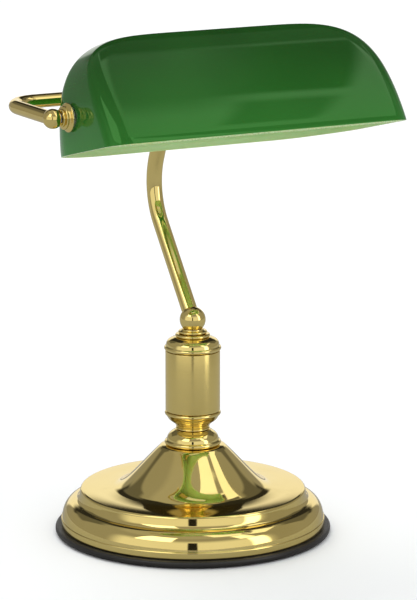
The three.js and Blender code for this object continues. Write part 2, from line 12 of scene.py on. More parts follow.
import bpy
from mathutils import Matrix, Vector


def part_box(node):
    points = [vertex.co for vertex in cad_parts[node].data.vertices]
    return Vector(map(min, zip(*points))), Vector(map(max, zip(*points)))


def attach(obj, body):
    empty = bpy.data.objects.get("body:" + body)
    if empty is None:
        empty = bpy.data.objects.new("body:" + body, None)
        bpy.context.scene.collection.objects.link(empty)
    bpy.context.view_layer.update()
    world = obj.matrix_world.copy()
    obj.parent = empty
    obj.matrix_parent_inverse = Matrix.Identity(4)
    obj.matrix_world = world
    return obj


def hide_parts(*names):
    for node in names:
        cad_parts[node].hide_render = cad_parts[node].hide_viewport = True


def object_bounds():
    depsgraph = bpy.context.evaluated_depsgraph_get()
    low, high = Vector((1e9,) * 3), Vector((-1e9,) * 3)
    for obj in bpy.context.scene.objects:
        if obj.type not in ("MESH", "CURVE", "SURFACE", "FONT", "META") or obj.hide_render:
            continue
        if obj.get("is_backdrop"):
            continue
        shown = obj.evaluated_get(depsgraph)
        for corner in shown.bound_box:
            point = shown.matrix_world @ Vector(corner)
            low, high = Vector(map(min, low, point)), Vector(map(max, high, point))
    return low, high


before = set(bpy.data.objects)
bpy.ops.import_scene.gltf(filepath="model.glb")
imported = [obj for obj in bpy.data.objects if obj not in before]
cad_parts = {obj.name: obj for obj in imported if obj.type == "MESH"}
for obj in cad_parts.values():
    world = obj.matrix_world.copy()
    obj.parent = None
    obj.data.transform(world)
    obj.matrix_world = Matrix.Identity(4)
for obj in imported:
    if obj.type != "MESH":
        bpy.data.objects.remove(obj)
cad_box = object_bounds()

# %% [markdown]
# ## Measuring the frame
# Blender works in metres, but a lamp is drawn in millimetres. These helpers read a node's box in
# millimetres, so that a profile can be written in the same numbers as a drawing, and only the last
# step turns them into metres.

# %% Measures in millimetres
MM = 0.001
GAP = 0.3  # air left between pieces that touch
UP = Vector((0, 0, 1))
RIGHT = Vector((1, 0, 0))
BACK = Vector((0, 1, 0))


def low(node):
    """The lowest corner of a frame node, in millimetres."""
    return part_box(node)[0] / MM


def high(node):
    """The highest corner of a frame node, in millimetres."""
    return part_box(node)[1] / MM


def half_width(node):
    """Half of a node's width: the radius of a piece turned about the lamp's axis."""
    return (high(node).x - low(node).x) / 2


PIVOT_Z = (low("pivot_knob_left").z + high("pivot_knob_left").z) / 2
PIVOT_Y = (low("lock_nut_left").y + high("lock_nut_left").y) / 2
print("the shade tilts about an axis", round(PIVOT_Z, 1), "mm up and", round(PIVOT_Y, 1), "mm along Y")

# %% [markdown]
# ## Curves for a profile
# A turned profile is a short list of (radius, height) points. Its round stretches come from an arc or
# a Bezier curve, because a curve says what the turner meant and stays smooth at any number of steps.

# %% Arcs and curves


def arc(radius, height, size, start, end, steps=8):
    """Points on a circle about (radius, height), from one angle to another in degrees."""
    points = []
    for step in range(steps + 1):
        angle = math.radians(start + (end - start) * step / steps)
        points.append((radius + size * math.cos(angle), height + size * math.sin(angle)))
    return points


def curve(*handles, steps=12):
    """Points on a Bezier curve through its first and last handle, pulled by those between."""
    points = []
    for step in range(steps + 1):
        level = [Vector(handle) for handle in handles]
        while len(level) > 1:
            level = [a.lerp(b, step / steps) for a, b in zip(level, level[1:])]
        points.append(tuple(level[0]))
    return points


print("a quarter round has", len(arc(0, 0, 1, 0, 90)), "points")

# %% [markdown]
# ## Turning
# A lathe makes a solid of revolution. In Blender the same shape starts as one point, which is pulled
# into a line along the profile with Extrude, and the line is spun once round the axis. Spin leaves
# the first and the last line on top of each other, and a pole where the line meets the axis, so the
# doubles are merged before the normals are turned outwards.

# %% The turning helper


def deselect():
    """Leaves edit mode and selects nothing, so that the next operator acts on its own piece only."""
    if bpy.context.object and bpy.context.object.mode != "OBJECT":
        bpy.ops.object.mode_set(mode="OBJECT")
    bpy.ops.object.select_all(action="DESELECT")


def pick(piece):
    """Selects one piece and makes it the active one."""
    deselect()
    piece.select_set(True)
    bpy.context.view_layer.objects.active = piece


def settle(name):
    """Names the new object and moves its place into its mesh, so that it sits at the origin."""
    piece = bpy.context.object
    piece.name = name
    piece.data.name = name
    bpy.ops.object.transform_apply(location=True, rotation=True, scale=True)
    return piece


def pull(step):
    """Extrudes what is selected by a step in metres."""
    bpy.ops.mesh.extrude_region_move(TRANSFORM_OT_translate={"value": step})


def close_up():
    """Merges doubles, turns the faces outwards and goes back to object mode."""
    bpy.ops.mesh.select_all(action="SELECT")
    bpy.ops.mesh.remove_doubles(threshold=0.002 * MM)
    bpy.ops.mesh.normals_make_consistent(inside=False)
    bpy.ops.object.mode_set(mode="OBJECT")


def turned(name, profile, segments=96, centre=(0, 0, 0), axis=UP, out=RIGHT, closed=True):
    """A solid of revolution from (radius, height) points in millimetres, about an axis at centre."""
    places = [Vector(centre) * MM + out * (r * MM) + axis * (h * MM) for r, h in profile]
    if closed:
        places.append(places[0])
    deselect()
    bpy.ops.mesh.primitive_plane_add(size=MM, location=places[0])
    piece = settle(name)
    bpy.ops.object.mode_set(mode="EDIT")
    bpy.ops.mesh.merge(type="CENTER")
    for here, there in zip(places, places[1:]):
        pull(there - here)
    bpy.ops.mesh.select_all(action="SELECT")
    bpy.ops.mesh.spin(steps=segments, angle=2 * math.pi, center=Vector(centre) * MM, axis=axis)
    close_up()
    return piece


# %% [markdown]
# ## Bending tube
# A tube bender holds a straight tube and swings part of it round a former. The same three moves work
# here: a circle is pulled along the first straight, spun round the centre of the bend, and pulled on.
# Spin turns clockwise about its axis, so the bend's axis is handed over backwards.

# %% The tube helper


def tube(name, corners, radius, bend, wall, sides, steps):
    """A bent tube through corners in millimetres, with a bend of one radius at each inner corner."""
    corners = [Vector(corner) * MM for corner in corners]
    here = corners[0]
    along = (corners[1] - here).to_track_quat("Z", "Y").to_euler()
    deselect()
    bpy.ops.mesh.primitive_circle_add(vertices=sides, radius=radius * MM, location=here, rotation=along)
    piece = settle(name)
    bpy.ops.object.mode_set(mode="EDIT")
    bpy.ops.mesh.select_all(action="SELECT")
    for corner, after in zip(corners[1:], corners[2:]):
        into = (corner - here).normalized()
        away = (after - corner).normalized()
        turn = into.angle(away)
        reach = bend * MM * math.tan(turn / 2)
        pull(corner - into * reach - here)
        axis = into.cross(away).normalized()
        centre = corner - into * reach + axis.cross(into) * bend * MM
        bpy.ops.mesh.spin(steps=steps, angle=turn, center=centre, axis=-axis)
        here = corner + away * reach
    pull(corners[-1] - here)
    close_up()
    apply_modifier(piece, "SOLIDIFY", thickness=wall * MM, offset=-1)
    return piece


# %% [markdown]
# ## Finishing a piece
# Modifiers do the bench work: Solidify gives a wall its thickness, Boolean drills and saws, and Bevel
# breaks the sharp edges that no real piece has. A broken edge matters more than it seems, because it
# catches a thin line of light. Each modifier is applied, so that the mesh is what is seen.

# %% Bench helpers


def apply_modifier(piece, kind, **settings):
    """Adds one modifier to the piece, sets it and applies it."""
    pick(piece)
    bpy.ops.object.modifier_add(type=kind)
    modifier = piece.modifiers[-1]
    for setting, value in settings.items():
        setattr(modifier, setting, value)
    bpy.ops.object.modifier_apply(modifier=modifier.name)


def rod(place, direction, radius, length, sides=48):
    """A cylinder from a place along a direction, in millimetres, for drilling or joining."""
    direction = Vector(direction).normalized()
    middle = (Vector(place) + direction * length / 2) * MM
    turn = direction.to_track_quat("Z", "Y").to_euler()
    deselect()
    bpy.ops.mesh.primitive_cylinder_add(
        vertices=sides, radius=radius * MM, depth=length * MM, location=middle, rotation=turn
    )
    return settle("tool")


def combine(piece, tool, operation="DIFFERENCE"):
    """Cuts the tool out of the piece, or joins it on, and takes the tool away."""
    apply_modifier(piece, "BOOLEAN", object=tool, operation=operation, solver="EXACT")
    bpy.data.objects.remove(tool)


def soften(piece, width=0.2, segments=2, angle=32):
    """Rounds the sharp edges by a width in millimetres and shades the rest smooth."""
    limit = math.radians(angle)
    if width:
        apply_modifier(
            piece, "BEVEL", width=width * MM, segments=segments, limit_method="ANGLE", angle_limit=limit
        )
    pick(piece)
    bpy.ops.object.shade_smooth_by_angle(angle=limit)


def hand_in(piece, node, body, slot, finish):
    """Gives the piece its material and lets it stand for its frame node."""
    piece.data.materials.clear()
    for material in finish if isinstance(finish, list) else [finish]:
        piece.data.materials.append(material)
    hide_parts(node)
    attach(piece, body)
    print(f"{piece.name}: {len(piece.data.polygons)} faces")


def lathe(node, ending, profile, slot, finish, body="stand", edge=(0,), **turning):
    """Turns a piece, breaks its edges as soften is told to, and hands it in for its node."""
    piece = turned(f"{node}_{ending}", profile, **turning)
    soften(piece, *edge)
    hand_in(piece, node, body, slot, finish)


# %% [markdown]
# ## Node tools
# A material is a small graph. Adding nodes by hand in code takes three lines each, so one helper adds
# a node, sets it, and either fills or links its inputs. A second helper makes a shader node group with
# named sockets, because dust, wear and turning lines are used by many finishes.

# %% Node helpers


def fill(tree, node, inputs):
    """Links the inputs that are given as sockets, and sets the others to their value."""
    for socket, value in inputs.items():
        if isinstance(value, bpy.types.NodeSocket):
            tree.links.new(value, node.inputs[socket])
        else:
            node.inputs[socket].default_value = value


def put(tree, kind, inputs=None, **settings):
    """Adds a shader node, sets it, and fills or links its inputs."""
    node = tree.nodes.new("ShaderNode" + kind)
    for setting, value in settings.items():
        setattr(node, setting, value)
    fill(tree, node, inputs or {})
    return node


def maths(tree, operation, first, second=0.0, clamp=False):
    """One Math node, as its output."""
    return put(tree, "Math", {0: first, 1: second}, operation=operation, use_clamp=clamp).outputs[0]


def remap(tree, value, start, end, low_value=0.0, high_value=1.0):
    """A smooth step from one value to another while the input goes from start to end."""
    limits = {"Value": value, "From Min": start, "From Max": end, "To Min": low_value, "To Max": high_value}
    return put(tree, "MapRange", limits, interpolation_type="SMOOTHSTEP").outputs[0]


def weighted(tree, *terms, base=0.0):
    """The sum of some values, each times its weight, on top of a base."""
    total = base
    for value, weight in terms:
        part = put(tree, "Math", {0: value, 1: weight, 2: total}, operation="MULTIPLY_ADD")
        total = part.outputs[0]
    return total


def blend(tree, factor, first, second):
    """A mix of two colours, as its output."""
    return put(tree, "Mix", {0: factor, 6: first, 7: second}, data_type="RGBA").outputs[2]


def noise(tree, vector, scale, detail=3.0, roughness=0.5, dimensions="3D"):
    """A noise texture, as its 0 to 1 value."""
    inputs = {"Vector": vector, "Scale": scale, "Detail": detail, "Roughness": roughness}
    return put(tree, "TexNoise", inputs, noise_dimensions=dimensions).outputs[0]


def new_group(name, dial, result):
    """A node group with a Vector and one dial going in and one result coming out, and its two ends."""
    group = bpy.data.node_groups.new(name, "ShaderNodeTree")
    group.interface.new_socket("Vector", in_out="INPUT", socket_type="NodeSocketVector")
    group.interface.new_socket(dial, in_out="INPUT", socket_type="NodeSocketFloat")
    group.interface.new_socket(result, in_out="OUTPUT", socket_type="NodeSocketFloat")
    return group, group.nodes.new("NodeGroupInput").outputs, group.nodes.new("NodeGroupOutput").inputs


def placed(tree, group, coords, dial):
    """Places an effect's group in a material, turns its dial and gives its result."""
    return put(tree, "Group", {0: coords, 1: dial}, node_tree=group).outputs[0]


# %% [markdown]
# ## Turning lines
# A spun or turned surface keeps faint rings round its axis, even when polished. The group measures
# how far a point is from the axis and how high it stands, and reads noise at that pair of numbers, so
# the pattern is the same all the way round and shows as rings on a disc and on a cylinder alike.

# %% Group: turning lines


def make_turning_lines():
    """Height of the rings that a lathe leaves; its dial is their number per metre."""
    group, given, result = new_group("turning lines", "Fineness", "Height")
    x, y, z = put(group, "SeparateXYZ", {0: given["Vector"]}).outputs
    radius = maths(group, "SQRT", weighted(group, (x, x), (y, y)))
    ring = put(group, "CombineXYZ", {0: radius, 1: z}).outputs[0]
    lines = noise(group, ring, given["Fineness"], 4.0, 0.7, "2D")
    group.links.new(lines, result["Height"])
    return group


turning_lines = make_turning_lines()

# %% [markdown]
# ## Handling marks, dust and worn edges
# Three more effects appear on nearly every finish. Handling marks are soft smudges that dull a gloss.
# Dust settles only where a surface faces up. Worn edges come from Pointiness, which is high where the
# mesh is sharply convex. Each group gives a mask from 0 to 1, and the material decides what it does.

# %% Groups: handling marks, dust, worn edges


def make_handling_marks():
    """Mask of the smudges that hands leave; its dial is their number per metre."""
    group, given, result = new_group("handling marks", "Scale", "Mask")
    smudge = remap(group, noise(group, given["Vector"], given["Scale"], 5.0, 0.6), 0.45, 0.72)
    finer = maths(group, "MULTIPLY", given["Scale"], 9.0)
    streak = remap(group, noise(group, given["Vector"], finer, 4.0, 0.7), 0.3, 0.7, 0.4, 1.0)
    group.links.new(maths(group, "MULTIPLY", smudge, streak), result["Mask"])
    return group


def make_dust():
    """Mask of the dust on faces that look up; its dial is how much of it lies there."""
    group, given, result = new_group("dust", "Amount", "Mask")
    normal = put(group, "NewGeometry").outputs["Normal"]
    facing = remap(group, put(group, "SeparateXYZ", {0: normal}).outputs[2], 0.35, 1.0)
    patches = remap(group, noise(group, given["Vector"], 18.0, 4.0, 0.6), 0.35, 0.75, 0.25, 1.0)
    specks = remap(group, noise(group, given["Vector"], 1400.0, 2.0, 0.5), 0.5, 0.72)
    lying = maths(group, "MULTIPLY", facing, patches)
    mask = maths(group, "MULTIPLY", lying, maths(group, "ADD", specks, 0.25))
    group.links.new(maths(group, "MULTIPLY", mask, given["Amount"], clamp=True), result["Mask"])
    return group


def make_worn_edges():
    """Mask of the bare spots on sharp edges; its dial is how far they show."""
    group, given, result = new_group("worn edges", "Amount", "Mask")
    sharp = remap(group, put(group, "NewGeometry").outputs["Pointiness"], 0.51, 0.58)
    broken = remap(group, noise(group, given["Vector"], 160.0, 4.0, 0.6), 0.35, 0.6)
    mask = maths(group, "MULTIPLY", sharp, broken)
    group.links.new(maths(group, "MULTIPLY", mask, given["Amount"], clamp=True), result["Mask"])
    return group


handling_marks = make_handling_marks()
dust = make_dust()
worn_edges = make_worn_edges()
print("effects:", ", ".join(group.name for group in bpy.data.node_groups))

# %% [markdown]
# ## Starting a material
# Every finish starts from the Principled shader. Values that are the same all over, such as Metallic
# or the IOR, are set on its own sockets, and only what varies over the surface is linked. The pattern
# reads Object coordinates, which are metres in the lamp's own frame. A piece on the pivot is turned
# about another axis, so a Mapping node first moves and turns its pattern onto that axis.

# %% Material starters


def start(name, **plain):
    """A new material with its Principled shader's plain values set, and its Object coordinates."""
    material = bpy.data.materials.new(name)
    material.use_nodes = True
    tree = material.node_tree
    shader = tree.nodes["Principled BSDF"]
    for socket, value in plain.items():
        shader.inputs[socket.replace("_", " ")].default_value = value
    return material, tree, shader.inputs, put(tree, "TexCoord").outputs["Object"]


def about_pivot(tree, coords):
    """Moves the pattern onto the pivot's axis: first back to the pivot, then X becomes Z."""
    moved = {"Vector": coords, "Location": (0, -PIVOT_Y * MM, -PIVOT_Z * MM)}
    there = put(tree, "Mapping", moved).outputs[0]
    return put(tree, "Mapping", {"Vector": there, "Rotation": (0, math.pi / 2, 0)}).outputs[0]


def feed(tree, sockets, **outputs):
    """Links outputs to the shader's sockets by name."""
    for socket, output in outputs.items():
        tree.links.new(output, sockets[socket.replace("_", " ")])


def bump(tree, height, depth, strength=1.0):
    """A Bump node for a height that spans a depth in millimetres."""
    return put(tree, "Bump", {"Height": height, "Distance": depth * MM, "Strength": strength}).outputs[0]


# %% [markdown]
# ## Brass
# The lamp is brass under a clear lacquer. Most of it is polished to a mirror, so nearly all that is
# seen is the room, tinted by the metal. The mirror is kept honest by small things: rings from
# the lathe, smudges that raise the roughness a little, a slight drift of colour in the lacquer.
# The column is satin: it was brushed while it turned, so its scratches run round it, and the Principled
# shader's Anisotropic value stretches each highlight along the tube, at a right angle to them.

# %% Brass finishes
BRASS = (0.87, 0.70, 0.265, 1)
BRASS_DEEP = (0.80, 0.61, 0.19, 1)
BRASS_EDGE = (0.88, 0.87, 0.85, 1)  # how much of its shine is left at a low angle


def polished_brass(name, on_pivot=False):
    """A mirror of brass with lathe rings about the lamp's axis, or about the pivot's."""
    material, tree, sockets, coords = start(name, Metallic=1.0, Specular_Tint=BRASS_EDGE)
    rings = about_pivot(tree, coords) if on_pivot else coords
    lines = placed(tree, turning_lines, rings, 1400.0)
    marks = placed(tree, handling_marks, coords, 34.0)
    grime = placed(tree, dust, coords, 0.12)
    drift = remap(tree, noise(tree, coords, 11.0, 2.0), 0.3, 0.7)
    colour = blend(tree, weighted(tree, (drift, 0.35), (marks, 0.25)), BRASS, BRASS_DEEP)
    rough = weighted(tree, (marks, 0.05), (grime, 0.35), base=0.045)
    feed(tree, sockets, Base_Color=colour, Roughness=rough, Normal=bump(tree, lines, 0.0012))
    return material


def satin_brass():
    plain = {"Metallic": 1.0, "Anisotropic": 0.75, "Anisotropic_Rotation": 0.25}
    material, tree, sockets, coords = start("satin brass", **plain)
    lines = placed(tree, turning_lines, coords, 2600.0)
    marks = placed(tree, handling_marks, coords, 40.0)
    colour = blend(tree, weighted(tree, (lines, 0.5), (marks, 0.2)), BRASS, BRASS_DEEP)
    rough = remap(tree, lines, 0.2, 0.8, 0.17, 0.27)
    around = put(tree, "Tangent", direction_type="RADIAL", axis="Z").outputs[0]
    feed(tree, sockets, Base_Color=colour, Roughness=rough, Normal=bump(tree, lines, 0.004), Tangent=around)
    return material


brass = polished_brass("polished brass")
brass_on_pivot = polished_brass("polished brass on the pivot", True)
brass_satin = satin_brass()
print("brass:", brass.name, "/", brass_on_pivot.name, "/", brass_satin.name)

# %% [markdown]
# ## Green cased glass
# The shade is two layers of glass blown together: a thin deep green one outside and a milky one
# inside, which hides the bulb. Seen from outside, light crosses the green, meets the white and comes
# back green, so the green is bright where the shade is lit, and its gloss is a weak clear mirror.
# A tinted specular adds the second, green reflection of the inner layer. The body is opaque, so a
# cased glass needs no see-through shader, only a little light under its skin. Its green is also
# painted darker towards the crest: a painted shade for the darker reflections the top of it shows.

# %% Glass finishes
# The lit green of the lower walls, and its darker painted shade towards the crest, which is deepened a
# little more where the glass is thicker.
GREEN_THICK_AND_SHADED = (0.012, 0.055, 0.009, 1)
GREEN_LIT = (0.030, 0.190, 0.024, 1)
GREEN_SHINE = (0.35, 1.0, 0.3, 1)


def green_glass():
    plain = {"Subsurface_Weight": 0.1, "Subsurface_Scale": 0.004, "IOR": 1.52, "Specular_Tint": GREEN_SHINE}
    material, tree, sockets, coords = start("green cased glass", **plain)
    thickness = remap(tree, noise(tree, coords, 9.0, 2.0), 0.25, 0.75)
    height = put(tree, "SeparateXYZ", {0: coords}).outputs[2]
    # Painted shade: the colour darkens with height towards the crest, standing in for the darker
    # reflections up there.
    painted_shade_rise = remap(tree, height, low("shade_glass").z * MM, high("shade_glass").z * MM)
    seed = remap(tree, noise(tree, coords, 700.0, 1.0), 0.74, 0.8)
    colour = blend(tree, weighted(tree, (thickness, 0.2), (painted_shade_rise, 0.8)), GREEN_LIT, GREEN_THICK_AND_SHADED)
    colour = blend(tree, maths(tree, "MULTIPLY", seed, 0.25), colour, GREEN_LIT)
    marks = placed(tree, handling_marks, coords, 22.0)
    grime = placed(tree, dust, coords, 0.08)
    rough = weighted(tree, (marks, 0.03), (grime, 0.3), base=0.02)
    wave = noise(tree, coords, 14.0, 1.0)
    feed(tree, sockets, Base_Color=colour, Roughness=rough, Normal=bump(tree, wave, 0.12))
    return material


def opal_lining(name, light, dark):
    plain = {"Subsurface_Weight": 0.25, "Subsurface_Scale": 0.003, "IOR": 1.52}
    material, tree, sockets, coords = start(name, **plain)
    swirl = put(tree, "Mapping", {"Vector": coords, "Scale": (5.0, 16.0, 30.0)}).outputs[0]
    veins = remap(tree, noise(tree, swirl, 3.0, 5.0, 0.65), 0.4, 0.7)
    marks = placed(tree, handling_marks, coords, 26.0)
    colour = blend(tree, maths(tree, "MULTIPLY", veins, 0.6), light, dark)
    rough = weighted(tree, (marks, 0.1), base=0.12)
    wave = noise(tree, coords, 40.0, 2.0)
    feed(tree, sockets, Base_Color=colour, Roughness=rough, Normal=bump(tree, wave, 0.05))
    return material


def ground_rim():
    material, tree, sockets, coords = start("ground glass rim", IOR=1.52, Subsurface_Weight=0.2)
    grind = noise(tree, coords, 900.0, 3.0, 0.6)
    colour = blend(tree, remap(tree, grind, 0.3, 0.7), (0.30, 0.50, 0.18, 1), (0.50, 0.68, 0.36, 1))
    rough = remap(tree, grind, 0.3, 0.7, 0.18, 0.34)
    feed(tree, sockets, Base_Color=colour, Roughness=rough, Normal=bump(tree, grind, 0.01))
    return material


glass_green = green_glass()
glass_lining = opal_lining("milky green lining", (0.48, 0.68, 0.31, 1), (0.32, 0.52, 0.19, 1))
glass_opal = opal_lining("opal bulb glass", (0.86, 0.85, 0.78, 1), (0.78, 0.77, 0.70, 1))
glass_rim = ground_rim()
print("glass:", glass_green.name, "/", glass_lining.name, "/", glass_opal.name, "/", glass_rim.name)

# %% [markdown]
# ## The plain finishes
# Rubber, felt, iron, zinc plate, fibre, resin, china, nickel and tungsten are each a base colour with
# the right grain. They share one recipe: a noise grain of some size drives the colour between two
# tones, the roughness between two values and a bump of a real depth, and dust and worn edges lie over
# it. The recipe's few values are what makes rubber look like rubber and felt like felt.

# %% Grained finishes


def grey_or_colour(tone):
    """A colour with its alpha, from three numbers or from one for a grey."""
    return (*tone, 1) if isinstance(tone, tuple) else (tone, tone, tone, 1)


def grained(name, tones, rough, grain, depth, metal=0.0, wear=1.0, worn=0.0, dusty=0.3, **plain):
    """A finish whose grain, per metre, drives its tone, roughness and a bump in millimetres."""
    material, tree, sockets, coords = start(name, Metallic=metal, **plain)
    fine = noise(tree, coords, grain, 4.0, 0.65)
    patch = noise(tree, coords, grain / 14, 3.0)
    tone = weighted(tree, (fine, 0.6), (patch, 0.4))
    colour = blend(tree, remap(tree, tone, 0.3, 0.7), grey_or_colour(tones[0]), grey_or_colour(tones[1]))
    edges = placed(tree, worn_edges, coords, worn)
    colour = blend(tree, edges, colour, grey_or_colour(wear))
    lint = placed(tree, dust, coords, dusty)
    colour = blend(tree, lint, colour, (0.42, 0.40, 0.37, 1))
    gloss = weighted(tree, (lint, 0.3), base=remap(tree, fine, 0.3, 0.7, *rough))
    feed(tree, sockets, Base_Color=colour, Roughness=gloss, Normal=bump(tree, fine, depth))
    return material


BLACKS = [(0.010, 0.010, 0.011), (0.018, 0.018, 0.019)]
rubber = grained(
    "black rubber", [(0.006, 0.0055, 0.005), (0.014, 0.012, 0.010)], (0.34, 0.5), 900, 0.02,
    wear=(0.06, 0.058, 0.055), worn=0.5, dusty=0.15,
)
felt = grained(
    "green felt", [(0.012, 0.035, 0.018), (0.030, 0.075, 0.040)], (0.9, 1.0), 1600, 0.35,
    Sheen_Weight=0.6, Sheen_Roughness=0.5,
)
iron = grained("cast iron", [(0.05, 0.05, 0.052), (0.12, 0.115, 0.11)], (0.55, 0.8), 500, 0.25, 0.7)
zinc = grained(
    "zinc plated steel", [(0.50, 0.52, 0.54), (0.66, 0.67, 0.66)], (0.22, 0.4), 700, 0.01, 1.0,
    wear=0.75, worn=0.6, dusty=0.1,
)
fibre = grained("white fibre", [(0.62, 0.58, 0.49), (0.74, 0.71, 0.62)], (0.7, 0.9), 1200, 0.05)
resin = grained("black resin", BLACKS, (0.28, 0.4), 1500, 0.01, wear=0.09, worn=0.4)
china = grained(
    "glazed china", [(0.74, 0.71, 0.63), (0.82, 0.80, 0.74)], (0.10, 0.2), 300, 0.02, Coat_Weight=0.6
)
nickel = grained(
    "nickel plate", [(0.58, 0.55, 0.49), (0.70, 0.67, 0.61)], (0.16, 0.3), 800, 0.008, 1.0,
    wear=(0.72, 0.55, 0.25), worn=0.5, dusty=0.1,
)
tungsten = grained("tungsten wire", [0.10, (0.2, 0.19, 0.18)], (0.4, 0.6), 4000, 0.004, 1.0)
plain_finishes = [rubber, felt, iron, zinc, fibre, resin, china, nickel, tungsten]
print("plain finishes:", ", ".join(finish.name for finish in plain_finishes))

# %% [markdown]
# ## The base shell
# The base is one sheet of brass spun over a former: a rolled lip, a full shoulder, a step up to a flat
# disc, and a cone that flares up to the column. It could be a stack of cylinders, but the reflections
# run unbroken from the disc into the cone only if the curve does, so the whole outer face is drawn as
# one line and spun. Solidify then gives the sheet its thickness, inwards.

# %% Base shell
SHEET = 1.5
LIP_RADIUS = 92
LIP_TOP = 10.9
SHOULDER_TOP = 23
STEP_RADIUS = 78.5
DISC_TOP = 31.5
CONE_FOOT = 56
CONE_TOP_RADIUS = 21.6
TIE_HOLE = 5.1
RING_TOP = high("edge_ring").z
CONE_TOP = high("base_shell").z


def base_outline():
    """The upper face of the base, from under the lip to the hole at the top of the cone."""
    bottom = RING_TOP + GAP
    lip = arc(LIP_RADIUS - 1.1, bottom + 1.1, 1.1, -80, 0, 5)
    roll = arc(LIP_RADIUS - 1.1, LIP_TOP - 1.1, 1.1, 0, 70, 5)
    shoulder = curve((91.2, 11.3), (90.6, 17.9), (87.6, 22), (82.8, SHOULDER_TOP), steps=14)
    cove = curve((82.2, 23.1), (79.4, 23.6), (79.0, 27.5), (STEP_RADIUS, DISC_TOP - 1.9), steps=8)
    edge = arc(STEP_RADIUS - 1.9, DISC_TOP - 1.9, 1.9, 8, 90, 5)
    flare = curve((CONE_FOOT, DISC_TOP + 0.5), (47.5, DISC_TOP + 0.8), (36.5, 48), (22.8, 61.2), steps=26)
    crown = [(CONE_TOP_RADIUS, CONE_TOP), (TIE_HOLE, CONE_TOP)]
    return [*lip, *roll, *shoulder, *cove, *edge, (66, DISC_TOP + 0.15), *flare, *crown]


base = turned("base_shell_spun", base_outline(), 180, closed=False)
apply_modifier(base, "SOLIDIFY", thickness=SHEET * MM, offset=-1, use_even_offset=True)
LEAD_HOLE = 4.6
LEAD_HEIGHT = (low("cord_bushing").z + high("cord_bushing").z) / 2
combine(base, rod((0, 70, LEAD_HEIGHT), BACK, LEAD_HOLE, 40))
soften(base, 0)
hand_in(base, "base_shell", "stand", "polished_brass", brass)

# %% [markdown]
# ## The edge ring, the foot pad and the lead's bushing
# A soft ring runs under the lip and keeps the brass off the table, and a felt pad closes the bottom.
# Both are turned. The bushing in the back of the base is turned about a level axis, and its slot for
# the flat lead is sawn out with a Boolean.

# %% Edge ring, pad and bushing
RING_RADIUS = half_width("edge_ring")
PAD_RADIUS = half_width("foot_pad")
PAD_TOP = high("foot_pad").z

ring_outline = [
    (PAD_RADIUS + GAP, 0.4),
    (PAD_RADIUS + 0.7, 0),
    *curve((PAD_RADIUS + 2, 0), (RING_RADIUS, 0.2), (RING_RADIUS + 1, 1.4), (RING_RADIUS + 1, 3), steps=8),
    *arc(RING_RADIUS - 0.7, RING_TOP - 1.7, 1.7, 0, 90, 6),
    (PAD_RADIUS + GAP, RING_TOP),
]
lathe("edge_ring", "moulded", ring_outline, "rubber", rubber, segments=144)

pad_edge = arc(PAD_RADIUS - 0.6, 0.6, 0.6, -90, 30, 4)
pad_outline = [(0, 0), *pad_edge, (PAD_RADIUS - 0.7, PAD_TOP), (0, PAD_TOP)]
lathe("foot_pad", "cut", pad_outline, "felt", felt, closed=False)

BUSHING_SEAT = (0, 86, LEAD_HEIGHT)
sleeve = LEAD_HOLE - GAP
flange = LEAD_HOLE + 2
bushing_outline = [
    (0, -7), (sleeve - 0.8, -7), (sleeve, -5), (sleeve, 6.2), (flange, 6.2),
    *arc(flange - 0.7, 6.7, 0.7, 0, 90, 4), (3.2, 7.4), (2.8, 7.0), (0, 7.0),
]
bushing = turned("cord_bushing_moulded", bushing_outline, 48, BUSHING_SEAT, BACK, RIGHT, closed=False)
deselect()
bpy.ops.mesh.primitive_cube_add(size=1, location=Vector(BUSHING_SEAT) * MM)
bpy.context.object.scale = Vector((5.6, 40, 3)) * MM
combine(bushing, settle("tool"))
soften(bushing, 0.2)
hand_in(bushing, "cord_bushing", "stand", "black_resin", resin)

# %% [markdown]
# ## The column
# The column is a stack that one threaded tube pulls together: a domed gallery ring, a waisted spool, a
# satin cylinder, a cap and two check rings under the ball. Each is turned on its own, with the fine
# dark joint between them left open, because those joints are how one reads it as a stack.

# %% Column
GALLERY_TOP = high("gallery_ring").z
SPOOL_TOP = high("waist_spool").z
COLUMN_TOP = high("column_tube").z
CAP_TOP = high("column_cap").z
LARGE_TOP = high("check_ring_large").z
SMALL_TOP = high("check_ring_small").z

bottom = CONE_TOP + GAP
gallery_outline = [
    (TIE_HOLE, bottom),
    *arc(18.2, bottom + 1.8, 1.5, -80, 70, 8),
    *curve((18.0, bottom + 3.7), (17.9, GALLERY_TOP - 3.2), (12.6, GALLERY_TOP - 0.5)),
    (12.2, GALLERY_TOP),
    (TIE_HOLE, GALLERY_TOP),
]
bottom = GALLERY_TOP + GAP
spool_outline = [
    (TIE_HOLE, bottom),
    *arc(11.1, bottom + 0.7, 0.7, -90, 90, 6),
    *curve((11.5, bottom + 1.8), (12.2, bottom + 5.4), (16.6, bottom + 5.2), (18.2, SPOOL_TOP - 3.3)),
    *arc(18.0, SPOOL_TOP - 1.55, 1.5, -70, 88, 8),
    (TIE_HOLE, SPOOL_TOP),
]
bottom = COLUMN_TOP + GAP
cap_outline = [
    (TIE_HOLE, bottom),
    *arc(18.2, bottom + 1.6, 1.6, -88, 75, 8),
    *curve((18.5, bottom + 3.6), (18.4, CAP_TOP - 1.6), (13.6, CAP_TOP - 0.5)),
    (12.9, CAP_TOP),
    (TIE_HOLE, CAP_TOP),
]


def check_ring(radius, low_edge, bead):
    """A check ring's profile, from its inner end to the top of its half round."""
    return [(TIE_HOLE, low_edge), *arc(radius - bead / 2, low_edge + bead / 2, bead / 2, -88, 88, 8)]


small_bottom = LARGE_TOP + GAP
small_outline = [
    *check_ring(10, small_bottom, 2),
    *curve((8.0, small_bottom + 2.1), (7.5, small_bottom + 2.3), (7.5, SMALL_TOP), steps=4),
    (TIE_HOLE, SMALL_TOP),
]
large_outline = [*check_ring(12.1, CAP_TOP + GAP, LARGE_TOP - CAP_TOP - GAP), (TIE_HOLE, LARGE_TOP)]

